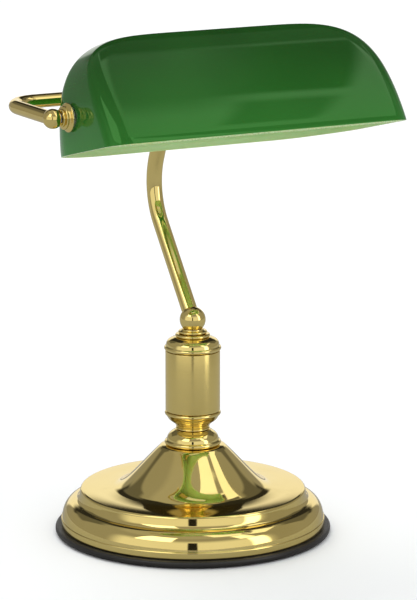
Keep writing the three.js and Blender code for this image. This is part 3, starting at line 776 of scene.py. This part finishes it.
for node, outline in {
    "gallery_ring": gallery_outline,
    "waist_spool": spool_outline,
    "column_cap": cap_outline,
    "check_ring_large": large_outline,
    "check_ring_small": small_outline,
}.items():
    lathe(node, "turned", outline, "polished_brass", brass, edge=(0.12, 2, 40))

COLUMN_RADIUS = half_width("column_tube")
column_outline = [
    (COLUMN_RADIUS - 1.5, SPOOL_TOP + GAP),
    (COLUMN_RADIUS, SPOOL_TOP + GAP),
    (COLUMN_RADIUS, COLUMN_TOP),
    (COLUMN_RADIUS - 1.5, COLUMN_TOP),
]
lathe("column_tube", "brushed", column_outline, "satin_brass", brass_satin, edge=(0.35, 3), segments=128)

# %% [markdown]
# ## The ball and the arm
# The arm leans back out of a ball, bends once and leans forward up to the yoke. Its line is known from
# the ball, the height of the yoke and the two leans, so the bend's corner is where the two straights
# would meet. The ball is turned as well, with a flat below it, and its two sockets are drilled.

# %% Ball and arm
LEAN_BACK = math.radians(38)
LEAN_FORWARD = math.radians(22.8)
ARM_RADIUS = 5.5
ARM_BEND = 45
BALL_RADIUS = half_width("arm_ball")
BALL_CENTRE = Vector((0, 0, high("arm_ball").z - BALL_RADIUS))
YOKE_RADIUS = 4.7
YOKE_BEND = 21
TUBE_WALL = 1.2
SLIP = 0.12  # how much wider a socket is drilled than the tube in it
YOKE_BACK = high("yoke_tube").y - YOKE_RADIUS
TEE = Vector((0, YOKE_BACK, PIVOT_Z))
backward = Vector((0, math.sin(LEAN_BACK), math.cos(LEAN_BACK)))
forward = Vector((0, -math.sin(LEAN_FORWARD), math.cos(LEAN_FORWARD)))


def where_they_meet(first, along_first, second, along_second):
    """The point where two lines in the lamp's middle plane cross."""
    across = second - first
    spread = along_first.y * along_second.z - along_first.z * along_second.y
    reach = (across.y * along_second.z - across.z * along_second.y) / spread
    return first + along_first * reach


ARM_SEAT = 4.4
ARM_END = YOKE_RADIUS + 0.9
arm_corner = where_they_meet(BALL_CENTRE, backward, TEE, forward)
arm_ends = BALL_CENTRE + backward * ARM_SEAT, TEE - forward * ARM_END
arm = tube("arm_tube_bent", [arm_ends[0], arm_corner, arm_ends[1]], ARM_RADIUS, ARM_BEND, TUBE_WALL, 56, 28)
soften(arm, 0)
hand_in(arm, "arm_tube", "stand", "polished_brass", brass)

seat = SMALL_TOP + GAP - BALL_CENTRE.z
seat_angle = math.degrees(math.asin(seat / BALL_RADIUS))
ball_outline = [(0, seat), *arc(0, 0, BALL_RADIUS, seat_angle, 90, 28)]
ball = turned("arm_ball_turned", ball_outline, 72, BALL_CENTRE, closed=False)
combine(ball, rod(BALL_CENTRE + backward * (ARM_SEAT - GAP), backward, ARM_RADIUS + SLIP, 20))
combine(ball, rod(BALL_CENTRE - UP * 12, UP, TIE_HOLE, 9.6))
soften(ball, 0.15)
hand_in(ball, "arm_ball", "stand", "polished_brass", brass)

# %% [markdown]
# ## The tee and the yoke
# A short cast tee joins the arm to the middle of the yoke. It is two turned sleeves united and bored,
# which leaves the soft seam that a Bevel can round. The yoke is one tube with two bends.

# %% Tee and yoke
sleeve_outline = [
    (2, -13), (6.4, -13),
    *arc(6.7, -12.2, 0.7, -80, 80, 5), (6.9, -11),
    *curve((6.9, -10.6), (7.3, -4), (7.3, 0), steps=5),
]
sleeve_outline += [(radius, -height) for radius, height in reversed(sleeve_outline)]
tee = turned("tee_coupling_cast", sleeve_outline, 72, TEE, RIGHT, UP)
boss_outline = [
    (0, -15.9), (6.9, -15.9),
    *arc(6.9, -14.9, 0.7, -80, 80, 5),
    (7.1, -13.4), (7.1, -2), (0, -2),
]
boss = turned("tool", boss_outline, 72, TEE, forward, RIGHT)
combine(tee, boss, "UNION")
combine(tee, rod(TEE - RIGHT * 20, RIGHT, YOKE_RADIUS + SLIP, 40))
combine(tee, rod(TEE - forward * 20, forward, ARM_RADIUS + SLIP, 19.4))
soften(tee, 0.25, 2, 40)
hand_in(tee, "tee_coupling", "stand", "polished_brass", brass)

HALF_YOKE = half_width("yoke_tube") - YOKE_RADIUS
LEG_END = low("yoke_tube").y
yoke_corners = [
    (-HALF_YOKE, LEG_END, PIVOT_Z),
    (-HALF_YOKE, YOKE_BACK, PIVOT_Z),
    (HALF_YOKE, YOKE_BACK, PIVOT_Z),
    (HALF_YOKE, LEG_END, PIVOT_Z),
]
yoke = tube("yoke_tube_bent", yoke_corners, YOKE_RADIUS, YOKE_BEND, TUBE_WALL, 48, 24)
soften(yoke, 0)
hand_in(yoke, "yoke_tube", "stand", "polished_brass", brass)

# %% [markdown]
# ## The clamps on the pivot
# At each end a knob, a stepped collar, two fibre washers and a lock nut hold the glass on a threaded
# nipple. The two ends are mirror images, so one loop makes both, with the axis pointing outwards from
# the glass. All are turned about the pivot's axis. The nut is a hexagon whose corners are turned off
# by keeping only what lies inside a chamfered disc.

# %% Clamps
GLASS_FACE = 112.3
WALL = 3.2
KNOB_RADIUS = 6.65
KNOB_FACE = 3.1
NIPPLE = 3.2
THREAD_PITCH = 1.0
THREAD_DEPTH = 0.28
INNER_CLEARANCE = 0.9
NIPPLE_START = 98.7  # the nipple's inner end, from the lamp's middle
NUT_ACROSS = 12
WASHER_RADIUS = 8


def thread(radius, start_height, end_height, depth=THREAD_DEPTH, pitch=THREAD_PITCH):
    """Crests and roots of a screw thread, one of each for each turn."""
    turns = int((end_height - start_height) / pitch)
    points = []
    for step in range(2 * turns + 1):
        points.append((radius - (depth if step % 2 else 0), start_height + step * pitch / 2))
    return points


def washer(inner, outer, bottom_face, top_face):
    """A flat ring's profile."""
    return [(inner, bottom_face), (outer, bottom_face), (outer, top_face), (inner, top_face)]


def lock_nut(name, centre, axis, across, bore, bottom_face, top_face):
    """A hexagon nut with chamfered corners."""
    height = top_face - bottom_face
    corner = across / 2 / math.cos(math.pi / 6)
    nut = rod(centre + axis * bottom_face, axis, corner, height, 6)
    nut.name = name
    half, wide = across / 2 - 0.1, corner + 0.2
    chamfer = [
        (0, bottom_face - 0.1), (half, bottom_face - 0.1), (wide, bottom_face + 0.9),
        (wide, top_face - 0.9), (half, top_face + 0.1), (0, top_face + 0.1),
    ]
    combine(nut, turned("tool", chamfer, 72, centre, axis, UP, closed=False), "INTERSECT")
    combine(nut, rod(centre + axis * (bottom_face - 2), axis, bore, height + 4))
    soften(nut, 0.12)
    return nut


collar_outline = [
    (NIPPLE + GAP, 1.4),
    (9.1, 1.4),
    *arc(9.15, 2.0, 0.6, -80, 60, 6),
    *curve((9.1, 2.75), (7.9, 3.0), (7.1, 3.9), steps=6),
    *arc(6.9, 5.0, 0.95, -70, 70, 7),
    *arc(5.25, 6.75, 0.85, -70, 88, 7),
    (NIPPLE + GAP, 7.6),
]
face_angle = math.degrees(math.asin(-KNOB_FACE / KNOB_RADIUS))
knob_outline = [
    (NIPPLE + GAP, -0.6),
    (NIPPLE + GAP, -KNOB_FACE),
    *arc(0, 0, KNOB_RADIUS, face_angle, 90, 24),
    (0, -0.6),
]
inner_end = -WALL - INNER_CLEARANCE

for side, axis in (("left", -RIGHT), ("right", RIGHT)):
    centre = Vector((0, PIVOT_Y, PIVOT_Z)) + axis * GLASS_FACE
    seat = HALF_YOKE - GLASS_FACE
    knob_centre = centre + axis * seat
    knob = turned(f"pivot_knob_{side}_turned", knob_outline, 72, knob_centre, axis, UP, closed=True)
    leg_socket = knob_centre + BACK * (LEG_END - PIVOT_Y - GAP)
    combine(knob, rod(leg_socket, BACK, YOKE_RADIUS + SLIP, 12))
    soften(knob, 0.15)
    hand_in(knob, f"pivot_knob_{side}", "stand", "polished_brass", brass_on_pivot)

    spot = {"centre": centre, "axis": axis, "out": UP, "segments": 72}
    collar = f"pivot_collar_{side}"
    lathe(collar, "turned", collar_outline, "polished_brass", brass_on_pivot, edge=(0.1, 2, 40), **spot)

    thread_start = NIPPLE_START - GLASS_FACE
    rings = thread(NIPPLE, thread_start + 0.3, seat - 1.6)
    nipple_outline = [(1.8, thread_start), (NIPPLE - 0.3, thread_start), *rings, (1.8, seat - 1.3)]
    nipple = turned(f"pivot_nipple_{side}_threaded", nipple_outline, 40, centre, axis, UP)
    soften(nipple, 0, angle=20)
    hand_in(nipple, f"pivot_nipple_{side}", "stand", "zinc_steel", zinc)

    for place, faces in (("outer", (GAP, 1.1)), ("inner", (inner_end - 0.9, inner_end))):
        disc = washer(NIPPLE + GAP, WASHER_RADIUS, *faces)
        lathe(f"{place}_washer_{side}", "punched", disc, "white_fibre", fibre, edge=(0.15,), **spot)

    nut_faces = inner_end - 5.2, inner_end - 1.2
    nut = lock_nut(f"lock_nut_{side}_chamfered", centre, axis, NUT_ACROSS, NIPPLE + 0.1, *nut_faces)
    hand_in(nut, f"lock_nut_{side}", "stand", "zinc_steel", zinc)

# %% [markdown]
# ## The shade
# The glass is blown into a mould. Its rim is a rounded rectangle, nearly square at the front and round
# at the back, and every wall rises, leans in and rolls over to a short flat crest. Each wall follows a
# superellipse, so its reach at any height is one formula, with one power for how square it stays.
# The outline starts as a plane whose corners are rounded with a vertex Bevel. Its edges are then pulled
# up row by row, and each row is resized to what the formula says. Rows are close together near
# the crest, where the wall turns fastest. Solidify makes the inner wall and the rim, and gives each its
# own material, which is how a cased glass shows white inside green.

# %% Shade: the form
SHADE_HALF = 112.6
SHADE_DEPTH = 117.3
SHADE_HEIGHT = 74.1
RIDGE_HALF = 28.4
RIDGE = 63.4
RIDGE_FLAT = 4
FRONT_CORNER = 15.1
BACK_CORNER = 48.1
PIVOT_FROM_BACK = 57.5
PIVOT_ABOVE_RIM = 24
TILT = math.radians(13.8)
END_POWER = 4.1  # how square each wall stays as it rises
FRONT_POWER = 1.2
BACK_POWER = 1.45
ROWS = 44
LAST_ANGLE = math.pi / 2 - 0.02  # the last row stops just short of the crest


def reach(share, power):
    """How far out a wall still is at a share of the height, from 1 at the rim to 0 at the crest."""
    return max(0.0, 1 - share**power) ** (1 / power)


def row(share):
    """Half length, back and front of the outline at a share of the height, and its height."""
    half = RIDGE_HALF + (SHADE_HALF - RIDGE_HALF) * reach(share, END_POWER)
    crest_front = RIDGE + RIDGE_FLAT / 2
    crest_back = RIDGE - RIDGE_FLAT / 2
    front_now = crest_front + (SHADE_DEPTH - crest_front) * reach(share, FRONT_POWER)
    back_now = crest_back - crest_back * reach(share, BACK_POWER)
    height = share * SHADE_HEIGHT - PIVOT_ABOVE_RIM
    return half, PIVOT_FROM_BACK - back_now, PIVOT_FROM_BACK - front_now, height


def select_where(piece, test):
    """Selects the points of the piece, in edit mode, whose place passes a test."""
    bpy.ops.mesh.select_all(action="DESELECT")
    bpy.ops.object.mode_set(mode="OBJECT")
    for vertex in piece.data.vertices:
        vertex.select = test(vertex.co)
    bpy.ops.object.mode_set(mode="EDIT")


def shade_rim():
    """The rim's outline, as edges, in the shade's own frame with the pivot at zero."""
    half, back, front, height = row(0)
    deselect()
    bpy.ops.mesh.primitive_plane_add(size=1, location=(0, (back + front) / 2 * MM, height * MM))
    bpy.context.object.scale = (2 * half * MM, (back - front) * MM, 1)
    piece = settle("shade_glass_blown")
    bpy.ops.object.mode_set(mode="EDIT")
    bpy.ops.mesh.select_mode(type="VERT")
    for wall, radius, segments in ((front, FRONT_CORNER, 12), (back, BACK_CORNER, 22)):
        select_where(piece, lambda co: abs(co.y / MM - wall) < 0.1 and abs(co.x) / MM > half - 0.1)
        bpy.ops.mesh.bevel(offset=radius * MM, segments=segments, affect="VERTICES")
    bpy.ops.mesh.select_all(action="SELECT")
    bpy.ops.mesh.delete(type="ONLY_FACE")
    bpy.ops.mesh.select_all(action="SELECT")
    return piece


def shade_form():
    """The outer face of the shade, pulled up row by row and closed at the crest."""
    piece = shade_rim()
    half, back, front, height = row(0)
    for step in range(1, ROWS + 1):
        next_half, next_back, next_front, next_height = row(math.sin(step / ROWS * LAST_ANGLE))
        pull((0, (next_back - back) * MM, (next_height - height) * MM))
        shrink = (next_half / half, (next_back - next_front) / (back - front), 1)
        bpy.ops.transform.resize(value=shrink, center_override=(0, next_back * MM, next_height * MM))
        half, back, front, height = next_half, next_back, next_front, next_height
    bpy.ops.mesh.edge_face_add()
    close_up()
    return piece


shade = shade_form()
low_corner = Vector(shade.bound_box[0]) / MM
print("shade form, before it is tilted, starts at", [round(value, 1) for value in low_corner])

# %% [markdown]
# ## The shade's wall, holes and tilt
# The wall goes inwards from the blown outer face. The two holes for the nipples are drilled straight
# through, and the rim is bevelled, as a ground rim is. Last the whole shade is turned about the
# pivot, front edge up, and moved to it, and both are applied, so that the object sits at the origin.

# %% Shade: wall, holes and tilt
shade.data.materials.append(glass_green)
shade.data.materials.append(glass_lining)
shade.data.materials.append(glass_rim)
apply_modifier(
    shade, "SOLIDIFY", thickness=WALL * MM, offset=-1, use_even_offset=True,
    material_offset=1, material_offset_rim=2,
)
BUSH_HOLE = 5.3
combine(shade, rod((-150, 0, 0), RIGHT, BUSH_HOLE, 300))
shade.rotation_euler = (-TILT, 0, 0)
shade.location = (0, PIVOT_Y * MM, PIVOT_Z * MM)
pick(shade)
bpy.ops.object.transform_apply(location=True, rotation=True, scale=True)
soften(shade, 0.9, 3, 50)
kept = [face.material_index for face in shade.data.polygons]
hand_in(shade, "shade_glass", "shade", "green_glass", [glass_green, glass_lining, glass_rim])
for face, index in zip(shade.data.polygons, kept):
    face.material_index = index
apart = Vector(shade.bound_box[0]) / MM - low("shade_glass")
print("the shade's low corner differs from the frame's by", [round(value, 2) for value in apart], "mm")

# %% [markdown]
# ## The lampholder
# Inside the shade a brass holder hangs on the left nipple: a domed cap, a shell with a rolled mouth, a
# china insulator and a threaded nickel sleeve that takes the bulb. All are turned about the pivot's
# axis, from the left knob inwards.

# %% Lampholder
HOLDER_START = Vector((low("holder_cap").x, PIVOT_Y, PIVOT_Z))
HOLDER_RADIUS = (high("holder_cap").z - low("holder_cap").z) / 2
CAP_LENGTH = 13
SHELL_START = CAP_LENGTH + GAP
SHELL_END = SHELL_START + 30

on_holder = {"segments": 72, "centre": HOLDER_START, "axis": RIGHT, "out": UP}
inside = HOLDER_RADIUS - 1
cap_wall = [
    (NIPPLE + GAP, 1), (NIPPLE + GAP, 0),
    *arc(7, 0.6, 0.6, -90, -30, 2),
    *curve((7.6, 0.3), (HOLDER_RADIUS - 0.4, 2), (HOLDER_RADIUS, CAP_LENGTH - 3), steps=14),
    *arc(HOLDER_RADIUS - 0.1, CAP_LENGTH - 1.6, 0.9, -60, 60, 6),
    (HOLDER_RADIUS, CAP_LENGTH), (inside, CAP_LENGTH),
    *curve((inside, CAP_LENGTH - 1), (inside, 3), (7, 1), steps=10),
]
lathe("holder_cap", "pressed", cap_wall, "polished_brass", brass_on_pivot, **on_holder)

shell_wall = [
    (inside, SHELL_START), (HOLDER_RADIUS, SHELL_START),
    (HOLDER_RADIUS, SHELL_START + 5),
    *arc(HOLDER_RADIUS - 0.35, SHELL_START + 6.2, 0.9, -70, 70, 6),
    (HOLDER_RADIUS, SHELL_START + 7.4),
    (HOLDER_RADIUS, SHELL_END - 3.2),
    *arc(HOLDER_RADIUS - 0.1, SHELL_END - 1.1, 1.1, -80, 90, 8),
    (inside, SHELL_END),
]
lathe("holder_shell", "pressed", shell_wall, "polished_brass", brass_on_pivot, **on_holder)

disc = washer(2.2, inside - GAP, SHELL_START, SHELL_START + 5)
lathe("holder_insulator", "fired", disc, "ceramic", china, edge=(0.5, 3), **on_holder)

SLEEVE_RADIUS = 14.4
sleeve_start = SHELL_START + 5 + GAP
sleeve_end = SHELL_START + 28
sleeve_threads = thread(SLEEVE_RADIUS, sleeve_start + 1.5, sleeve_end - 1, 0.5, 2.8)
sleeve_wall = [(13.8, sleeve_start), (SLEEVE_RADIUS, sleeve_start), *sleeve_threads]
sleeve_wall += [(SLEEVE_RADIUS, sleeve_end), (13.85, sleeve_end)]
sleeve_wall += [(radius - 0.55, height) for radius, height in reversed(sleeve_threads)]
lathe("holder_sleeve", "rolled", sleeve_wall, "nickel", nickel, edge=(0, 2, 60), **on_holder)

# %% [markdown]
# ## The bulb
# The bulb is a long tube of opal glass with a rolled screw cap, a black glass ring and a solder tip.
# Its cap is one profile with a wave for each turn of the thread. A true helix would need the Screw
# modifier, but in the holder nobody could tell it from rings, and rings stay closed at both ends.

# %% Bulb
BULB_START = Vector((low("bulb_contact").x, PIVOT_Y, PIVOT_Z))
BULB_RADIUS = 15.5
BULB_LENGTH = 118
CAP_RADIUS = 13
TIP_END = 2
RING_END = 4.4
CAP_END = RING_END + 22
NECK = 11.6

on_bulb = {"body": "bulb", "centre": BULB_START, "axis": RIGHT, "out": UP}
tip = [*curve((0, 0), (3.4, 0), (4.2, TIP_END), steps=6), (0, TIP_END)]
lathe("bulb_contact", "soldered", tip, "nickel", nickel, segments=40, closed=False, **on_bulb)

ring_start = TIP_END + GAP
ring_side = curve((6, ring_start), (9.4, ring_start), (10.4, RING_END), steps=6)
black_ring = [(0, ring_start), *ring_side, (0, RING_END)]
lathe("bulb_insulator", "fused", black_ring, "black_resin", resin, segments=72, closed=False, **on_bulb)

THREAD_TURNS = 5
THREAD_LENGTH = 14
WAVE = 0.35  # half the depth of the rolled thread
WAVE_STEPS = 60
waves = []
for step in range(WAVE_STEPS + 1):
    share = step / WAVE_STEPS
    radius = CAP_RADIUS - WAVE + WAVE * math.cos(THREAD_TURNS * 2 * math.pi * share)
    waves.append((radius, RING_END + GAP + 2 + THREAD_LENGTH * share))
cap_wall = [(10.6, RING_END + GAP), *waves, (CAP_RADIUS, CAP_END - 0.3), (CAP_RADIUS - 0.3, CAP_END)]
cap_wall += [(NECK + GAP, CAP_END), (NECK + GAP, RING_END + GAP + 2), (10.2, RING_END + GAP + 0.5)]
lathe("bulb_cap", "rolled", cap_wall, "nickel", nickel, segments=72, **on_bulb)

neck_start = RING_END + 6
shoulder = CAP_END + 9
dome = BULB_LENGTH - BULB_RADIUS
wall = 0.8
inner = BULB_RADIUS - wall
envelope_wall = [
    (NECK, neck_start),
    (NECK, CAP_END + 0.4),
    *curve((NECK + 0.1, CAP_END + 0.8), (BULB_RADIUS, CAP_END + 2), (BULB_RADIUS, shoulder), steps=10),
    *arc(0, dome, BULB_RADIUS, 0, 90, 16),
    *arc(0, dome, inner, 90, 0, 16),
    *curve((inner, shoulder), (inner, CAP_END + 3), (NECK - wall, CAP_END + 1), steps=8),
    (NECK - wall, neck_start),
]
lathe("bulb_envelope", "blown", envelope_wall, "opal_glass", glass_opal, segments=72, **on_bulb)

# %% [markdown]
# ## Nodes that stay as they are
# The pieces sealed inside the base, the holder and the bulb are plain in the real lamp too: a pressed
# plate, a rough casting, a threaded tube and its nut. Their frame meshes already have the right shape,
# so they keep them and only get their finish, in the slots of their own objects.

# %% Finishes for the kept nodes
KEPT = {
    "bottom_plate": zinc, "base_weight": iron, "tie_tube": zinc, "tie_washer": zinc, "tie_nut": zinc,
    "shade_bush_left": resin, "shade_bush_right": resin, "holder_contact": nickel,
    "bulb_stem": glass_opal, "bulb_filament": tungsten,
}
for node, finish in KEPT.items():
    kept_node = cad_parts[node]
    kept_node.data.materials.clear()
    kept_node.data.materials.append(finish)
left_over = [name for name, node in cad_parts.items() if not node.hide_render and name not in KEPT]
print("kept nodes:", len(KEPT), "left over:", left_over)

# %% [markdown]
# ## The table and the camera
# The lamp stands on a near white table, and the camera looks at it from the left, a little above.
# A long lens keeps the base's ellipses flat.

# %% Table and camera
SIGHT = Vector((0.0096, -0.0052, 0.1643))  # the point in the middle of the view
DISTANCE = 2.204
AZIMUTH = math.radians(-28.5)
ELEVATION = math.radians(12.4)
LENS = 192


def from_direction(azimuth, elevation):
    """The unit vector that points from the lamp to an azimuth and elevation in radians."""
    flat = math.cos(elevation)
    return Vector((math.sin(azimuth) * flat, -math.cos(azimuth) * flat, math.sin(elevation)))


def white_table():
    """A near white table, darker where a mirror looks at it than where the eye does."""
    material, tree, sockets, coords = start("white table", Roughness=0.9)
    mottle = noise(tree, coords, 3.0, 2.0)
    mirrored = put(tree, "LightPath").outputs["Is Glossy Ray"]
    pale = blend(tree, mottle, (0.93, 0.93, 0.93, 1), (0.95, 0.95, 0.95, 1))
    feed(tree, sockets, Base_Color=blend(tree, mirrored, pale, (0.38, 0.38, 0.38, 1)))
    return material


deselect()
bpy.ops.mesh.primitive_plane_add(size=9)
table = settle("table")
table.data.materials.append(white_table())
table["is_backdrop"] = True

toward_camera = from_direction(AZIMUTH, ELEVATION)
camera_data = bpy.data.cameras.new("camera")
camera_data.lens = LENS
camera_data.sensor_width = 36
camera = bpy.data.objects.new("camera", camera_data)
bpy.context.scene.collection.objects.link(camera)
camera.location = SIGHT + toward_camera * DISTANCE
camera.rotation_mode = "QUATERNION"
camera.rotation_quaternion = (-toward_camera).to_track_quat("-Z", "Y")
bpy.context.scene.camera = camera
print("camera at", [round(value, 3) for value in camera.location])

# %% [markdown]
# ## What the brass sees
# Polished brass has no colour of its own to show: it shows the room. In a studio it stands in a tent of
# white cloth, with black boards hung between the cloths, and those dark bands are what makes
# metal read as metal. Here the tent is a dome that only mirrors can see, and its cloths are painted on
# it by direction: each has an azimuth and an elevation, a half width and a half height in degrees, a
# soft edge and a brightness. Azimuths count from the camera, and grow towards its right.

# %% The tent
TENT = [
    # azimuth, elevation, half width, half height, soft edge, brightness
    (0, 6, 62, 18, 20, 0.9),  # low white cloth across the front
    (0, 66, 180, 6, 8, 0.42),  # dim roof
    (-38, 46, 17, 13, 3, 2.2),  # main soft box, high on the left
    (56, 47, 7, 9, 3, 1.8),  # small soft box, high on the right
    (62, 14, 6, 18, 5, 2.6),  # narrow strip on the right
    (0, 12, 3.5, 16, 1.5, 0.02),  # the slit for the lens
    (180, 4, 20, 15, 5, 1.15),  # white wall behind, in two halves
    (-180, 4, 20, 15, 5, 1.15),
    (180, 40, 32, 17, 6, 0.03),  # black board over the wall, in two halves
    (-180, 40, 32, 17, 6, 0.03),
    (140, 35, 12, 8, 6, 0.14),  # and its two ends, right and left
    (-140, 35, 12, 8, 6, 0.14),
]
TENT_BASE = 0.34


def painted(tree, across, upward, areas, brightness):
    """Brightness over a flat map, from a base value and a list of soft-edged rectangles on top."""
    for about, up, half_wide, half_high, edge, value in areas:
        aside = maths(tree, "ABSOLUTE", maths(tree, "SUBTRACT", across, about))
        above = maths(tree, "ABSOLUTE", maths(tree, "SUBTRACT", upward, up))
        across_it = remap(tree, aside, half_wide, half_wide + edge, 1, 0)
        up_it = remap(tree, above, half_high, half_high + edge, 1, 0)
        inputs = {0: maths(tree, "MULTIPLY", across_it, up_it), 2: brightness, 3: value}
        brightness = put(tree, "Mix", inputs, data_type="FLOAT").outputs[0]
    return brightness


def glow_with(tree, brightness):
    """Makes the material shine with a brightness, a little warmer than white."""
    glow = put(tree, "Emission", {"Color": (1.0, 0.985, 0.96, 1), "Strength": brightness})
    tree.links.new(glow.outputs[0], tree.nodes["Material Output"].inputs["Surface"])


def only_for_mirrors(thing):
    """Hides a stage object from everything but reflections."""
    thing.visible_camera = False
    thing.visible_diffuse = False
    thing.visible_shadow = False
    thing.visible_transmission = False
    thing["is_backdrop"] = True


def tent_light():
    """Emission whose brightness is painted by direction."""
    material, tree, _, coords = start("tent")
    turned_round = put(tree, "Mapping", {"Vector": coords, "Rotation": (0, 0, -AZIMUTH)}).outputs[0]
    direction = put(tree, "VectorMath", {0: turned_round}, operation="NORMALIZE").outputs[0]
    x, y, z = put(tree, "SeparateXYZ", {0: direction}).outputs
    ahead = maths(tree, "MULTIPLY", y, -1)
    azimuth = maths(tree, "MULTIPLY", maths(tree, "ARCTAN2", x, ahead), 180 / math.pi)
    elevation = maths(tree, "MULTIPLY", maths(tree, "ARCSINE", z), 180 / math.pi)
    glow_with(tree, painted(tree, azimuth, elevation, TENT, TENT_BASE))
    return material


deselect()
bpy.ops.mesh.primitive_uv_sphere_add(segments=64, ring_count=32, radius=6)
tent = settle("tent")
tent.data.materials.append(tent_light())
only_for_mirrors(tent)
print("the tent has", len(TENT), "painted areas")

# %% [markdown]
# ## What the shade sees
# The broad front of the shade is nearly flat, so it shows one thing only: what hangs above it to the
# right. A bright card there, with a dark window and a dark flag painted on it, gives the glass the soft
# edges of light and dark that tell a gloss from a plain paint. The card lies level, so its paint is
# placed in metres along X and Y.

# %% The card over the shade
CARD_HEIGHT = 1.01
CARD = [
    # x, y, half width, half height, soft edge, brightness
    (0.40, -0.07, 0.10, 0.125, 0.03, 0.10),  # the window
    (0.25, -0.07, 0.04, 0.125, 0.14, 0.55),  # and its dim left side
    (0.44, -0.35, 0.05, 0.08, 0.04, 0.35),  # the flag
    (0.40, 0.20, 0.35, 0.10, 0.05, 0.16),  # the dim far edge
]
CARD_BASE = 1.35


def card_light():
    """Emission whose brightness is painted in metres along X and Y."""
    material, tree, _, coords = start("card")
    x, y, _ = put(tree, "SeparateXYZ", {0: coords}).outputs
    glow_with(tree, painted(tree, x, y, CARD, CARD_BASE))
    return material


deselect()
bpy.ops.mesh.primitive_plane_add(size=0.8, location=(0.40, -0.15, CARD_HEIGHT))
card = settle("card")
card.data.materials.append(card_light())
only_for_mirrors(card)
print("the card has", len(CARD), "painted areas")

# %% [markdown]
# ## What lights the rest
# Glass, rubber and the table are lit by broad soft light instead: an even room and two soft boxes,
# which mirrors don't see because the tent already shows them theirs.

# %% Soft boxes and the room
AIM = Vector((0, 0, 0.2))


def soft_box(name, azimuth, elevation, distance, width, height, radiance):
    """A rectangular light in a direction in degrees, of one brightness whatever its size."""
    light = bpy.data.lights.new(name, "AREA")
    light.shape = "RECTANGLE"
    light.size = width
    light.size_y = height
    light.energy = radiance * width * height * math.pi
    box = bpy.data.objects.new(name, light)
    bpy.context.scene.collection.objects.link(box)
    direction = from_direction(math.radians(azimuth), math.radians(elevation))
    box.location = AIM + direction * distance
    box.rotation_mode = "QUATERNION"
    box.rotation_quaternion = (-direction).to_track_quat("-Z", "Y")
    box.visible_camera = False
    box.visible_glossy = False


soft_box("back box", 180, 55, distance=4, width=3.2, height=3.2, radiance=2.1)
soft_box("front box", 15, 50, distance=1.8, width=0.9, height=0.9, radiance=0.9)


def studio():
    """White to the camera, and an even pale room to all that isn't a mirror."""
    world = bpy.data.worlds.new("studio")
    world.use_nodes = True
    tree = world.node_tree
    tree.nodes.clear()
    seen = put(tree, "LightPath").outputs["Is Camera Ray"]
    even = put(tree, "Background", {"Color": (0.97, 0.985, 1, 1), "Strength": 0.84})
    white = put(tree, "Background", {"Color": (1, 1, 1, 1), "Strength": 1.05})
    both = put(tree, "MixShader", {0: seen, 1: even.outputs[0], 2: white.outputs[0]})
    result = tree.nodes.new("ShaderNodeOutputWorld")
    tree.links.new(both.outputs[0], result.inputs["Surface"])
    world.cycles_visibility.glossy = False
    bpy.context.scene.world = world


studio()
bpy.context.scene.view_settings.view_transform = "Standard"
lights = [thing.name for thing in bpy.context.scene.objects if thing.type == "LIGHT"]
print("lights:", ", ".join(lights))

# %% [markdown]
# ## The last check
# The finished lamp keeps the size of its frame, to a millimetre, so both boxes are written down side
# by side.

# %% Sizes and the end
fine_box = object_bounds()
for name, box in (("frame", cad_box), ("lamp", fine_box)):
    print(name, "box in mm:", [[round(value / MM, 1) for value in corner] for corner in box])
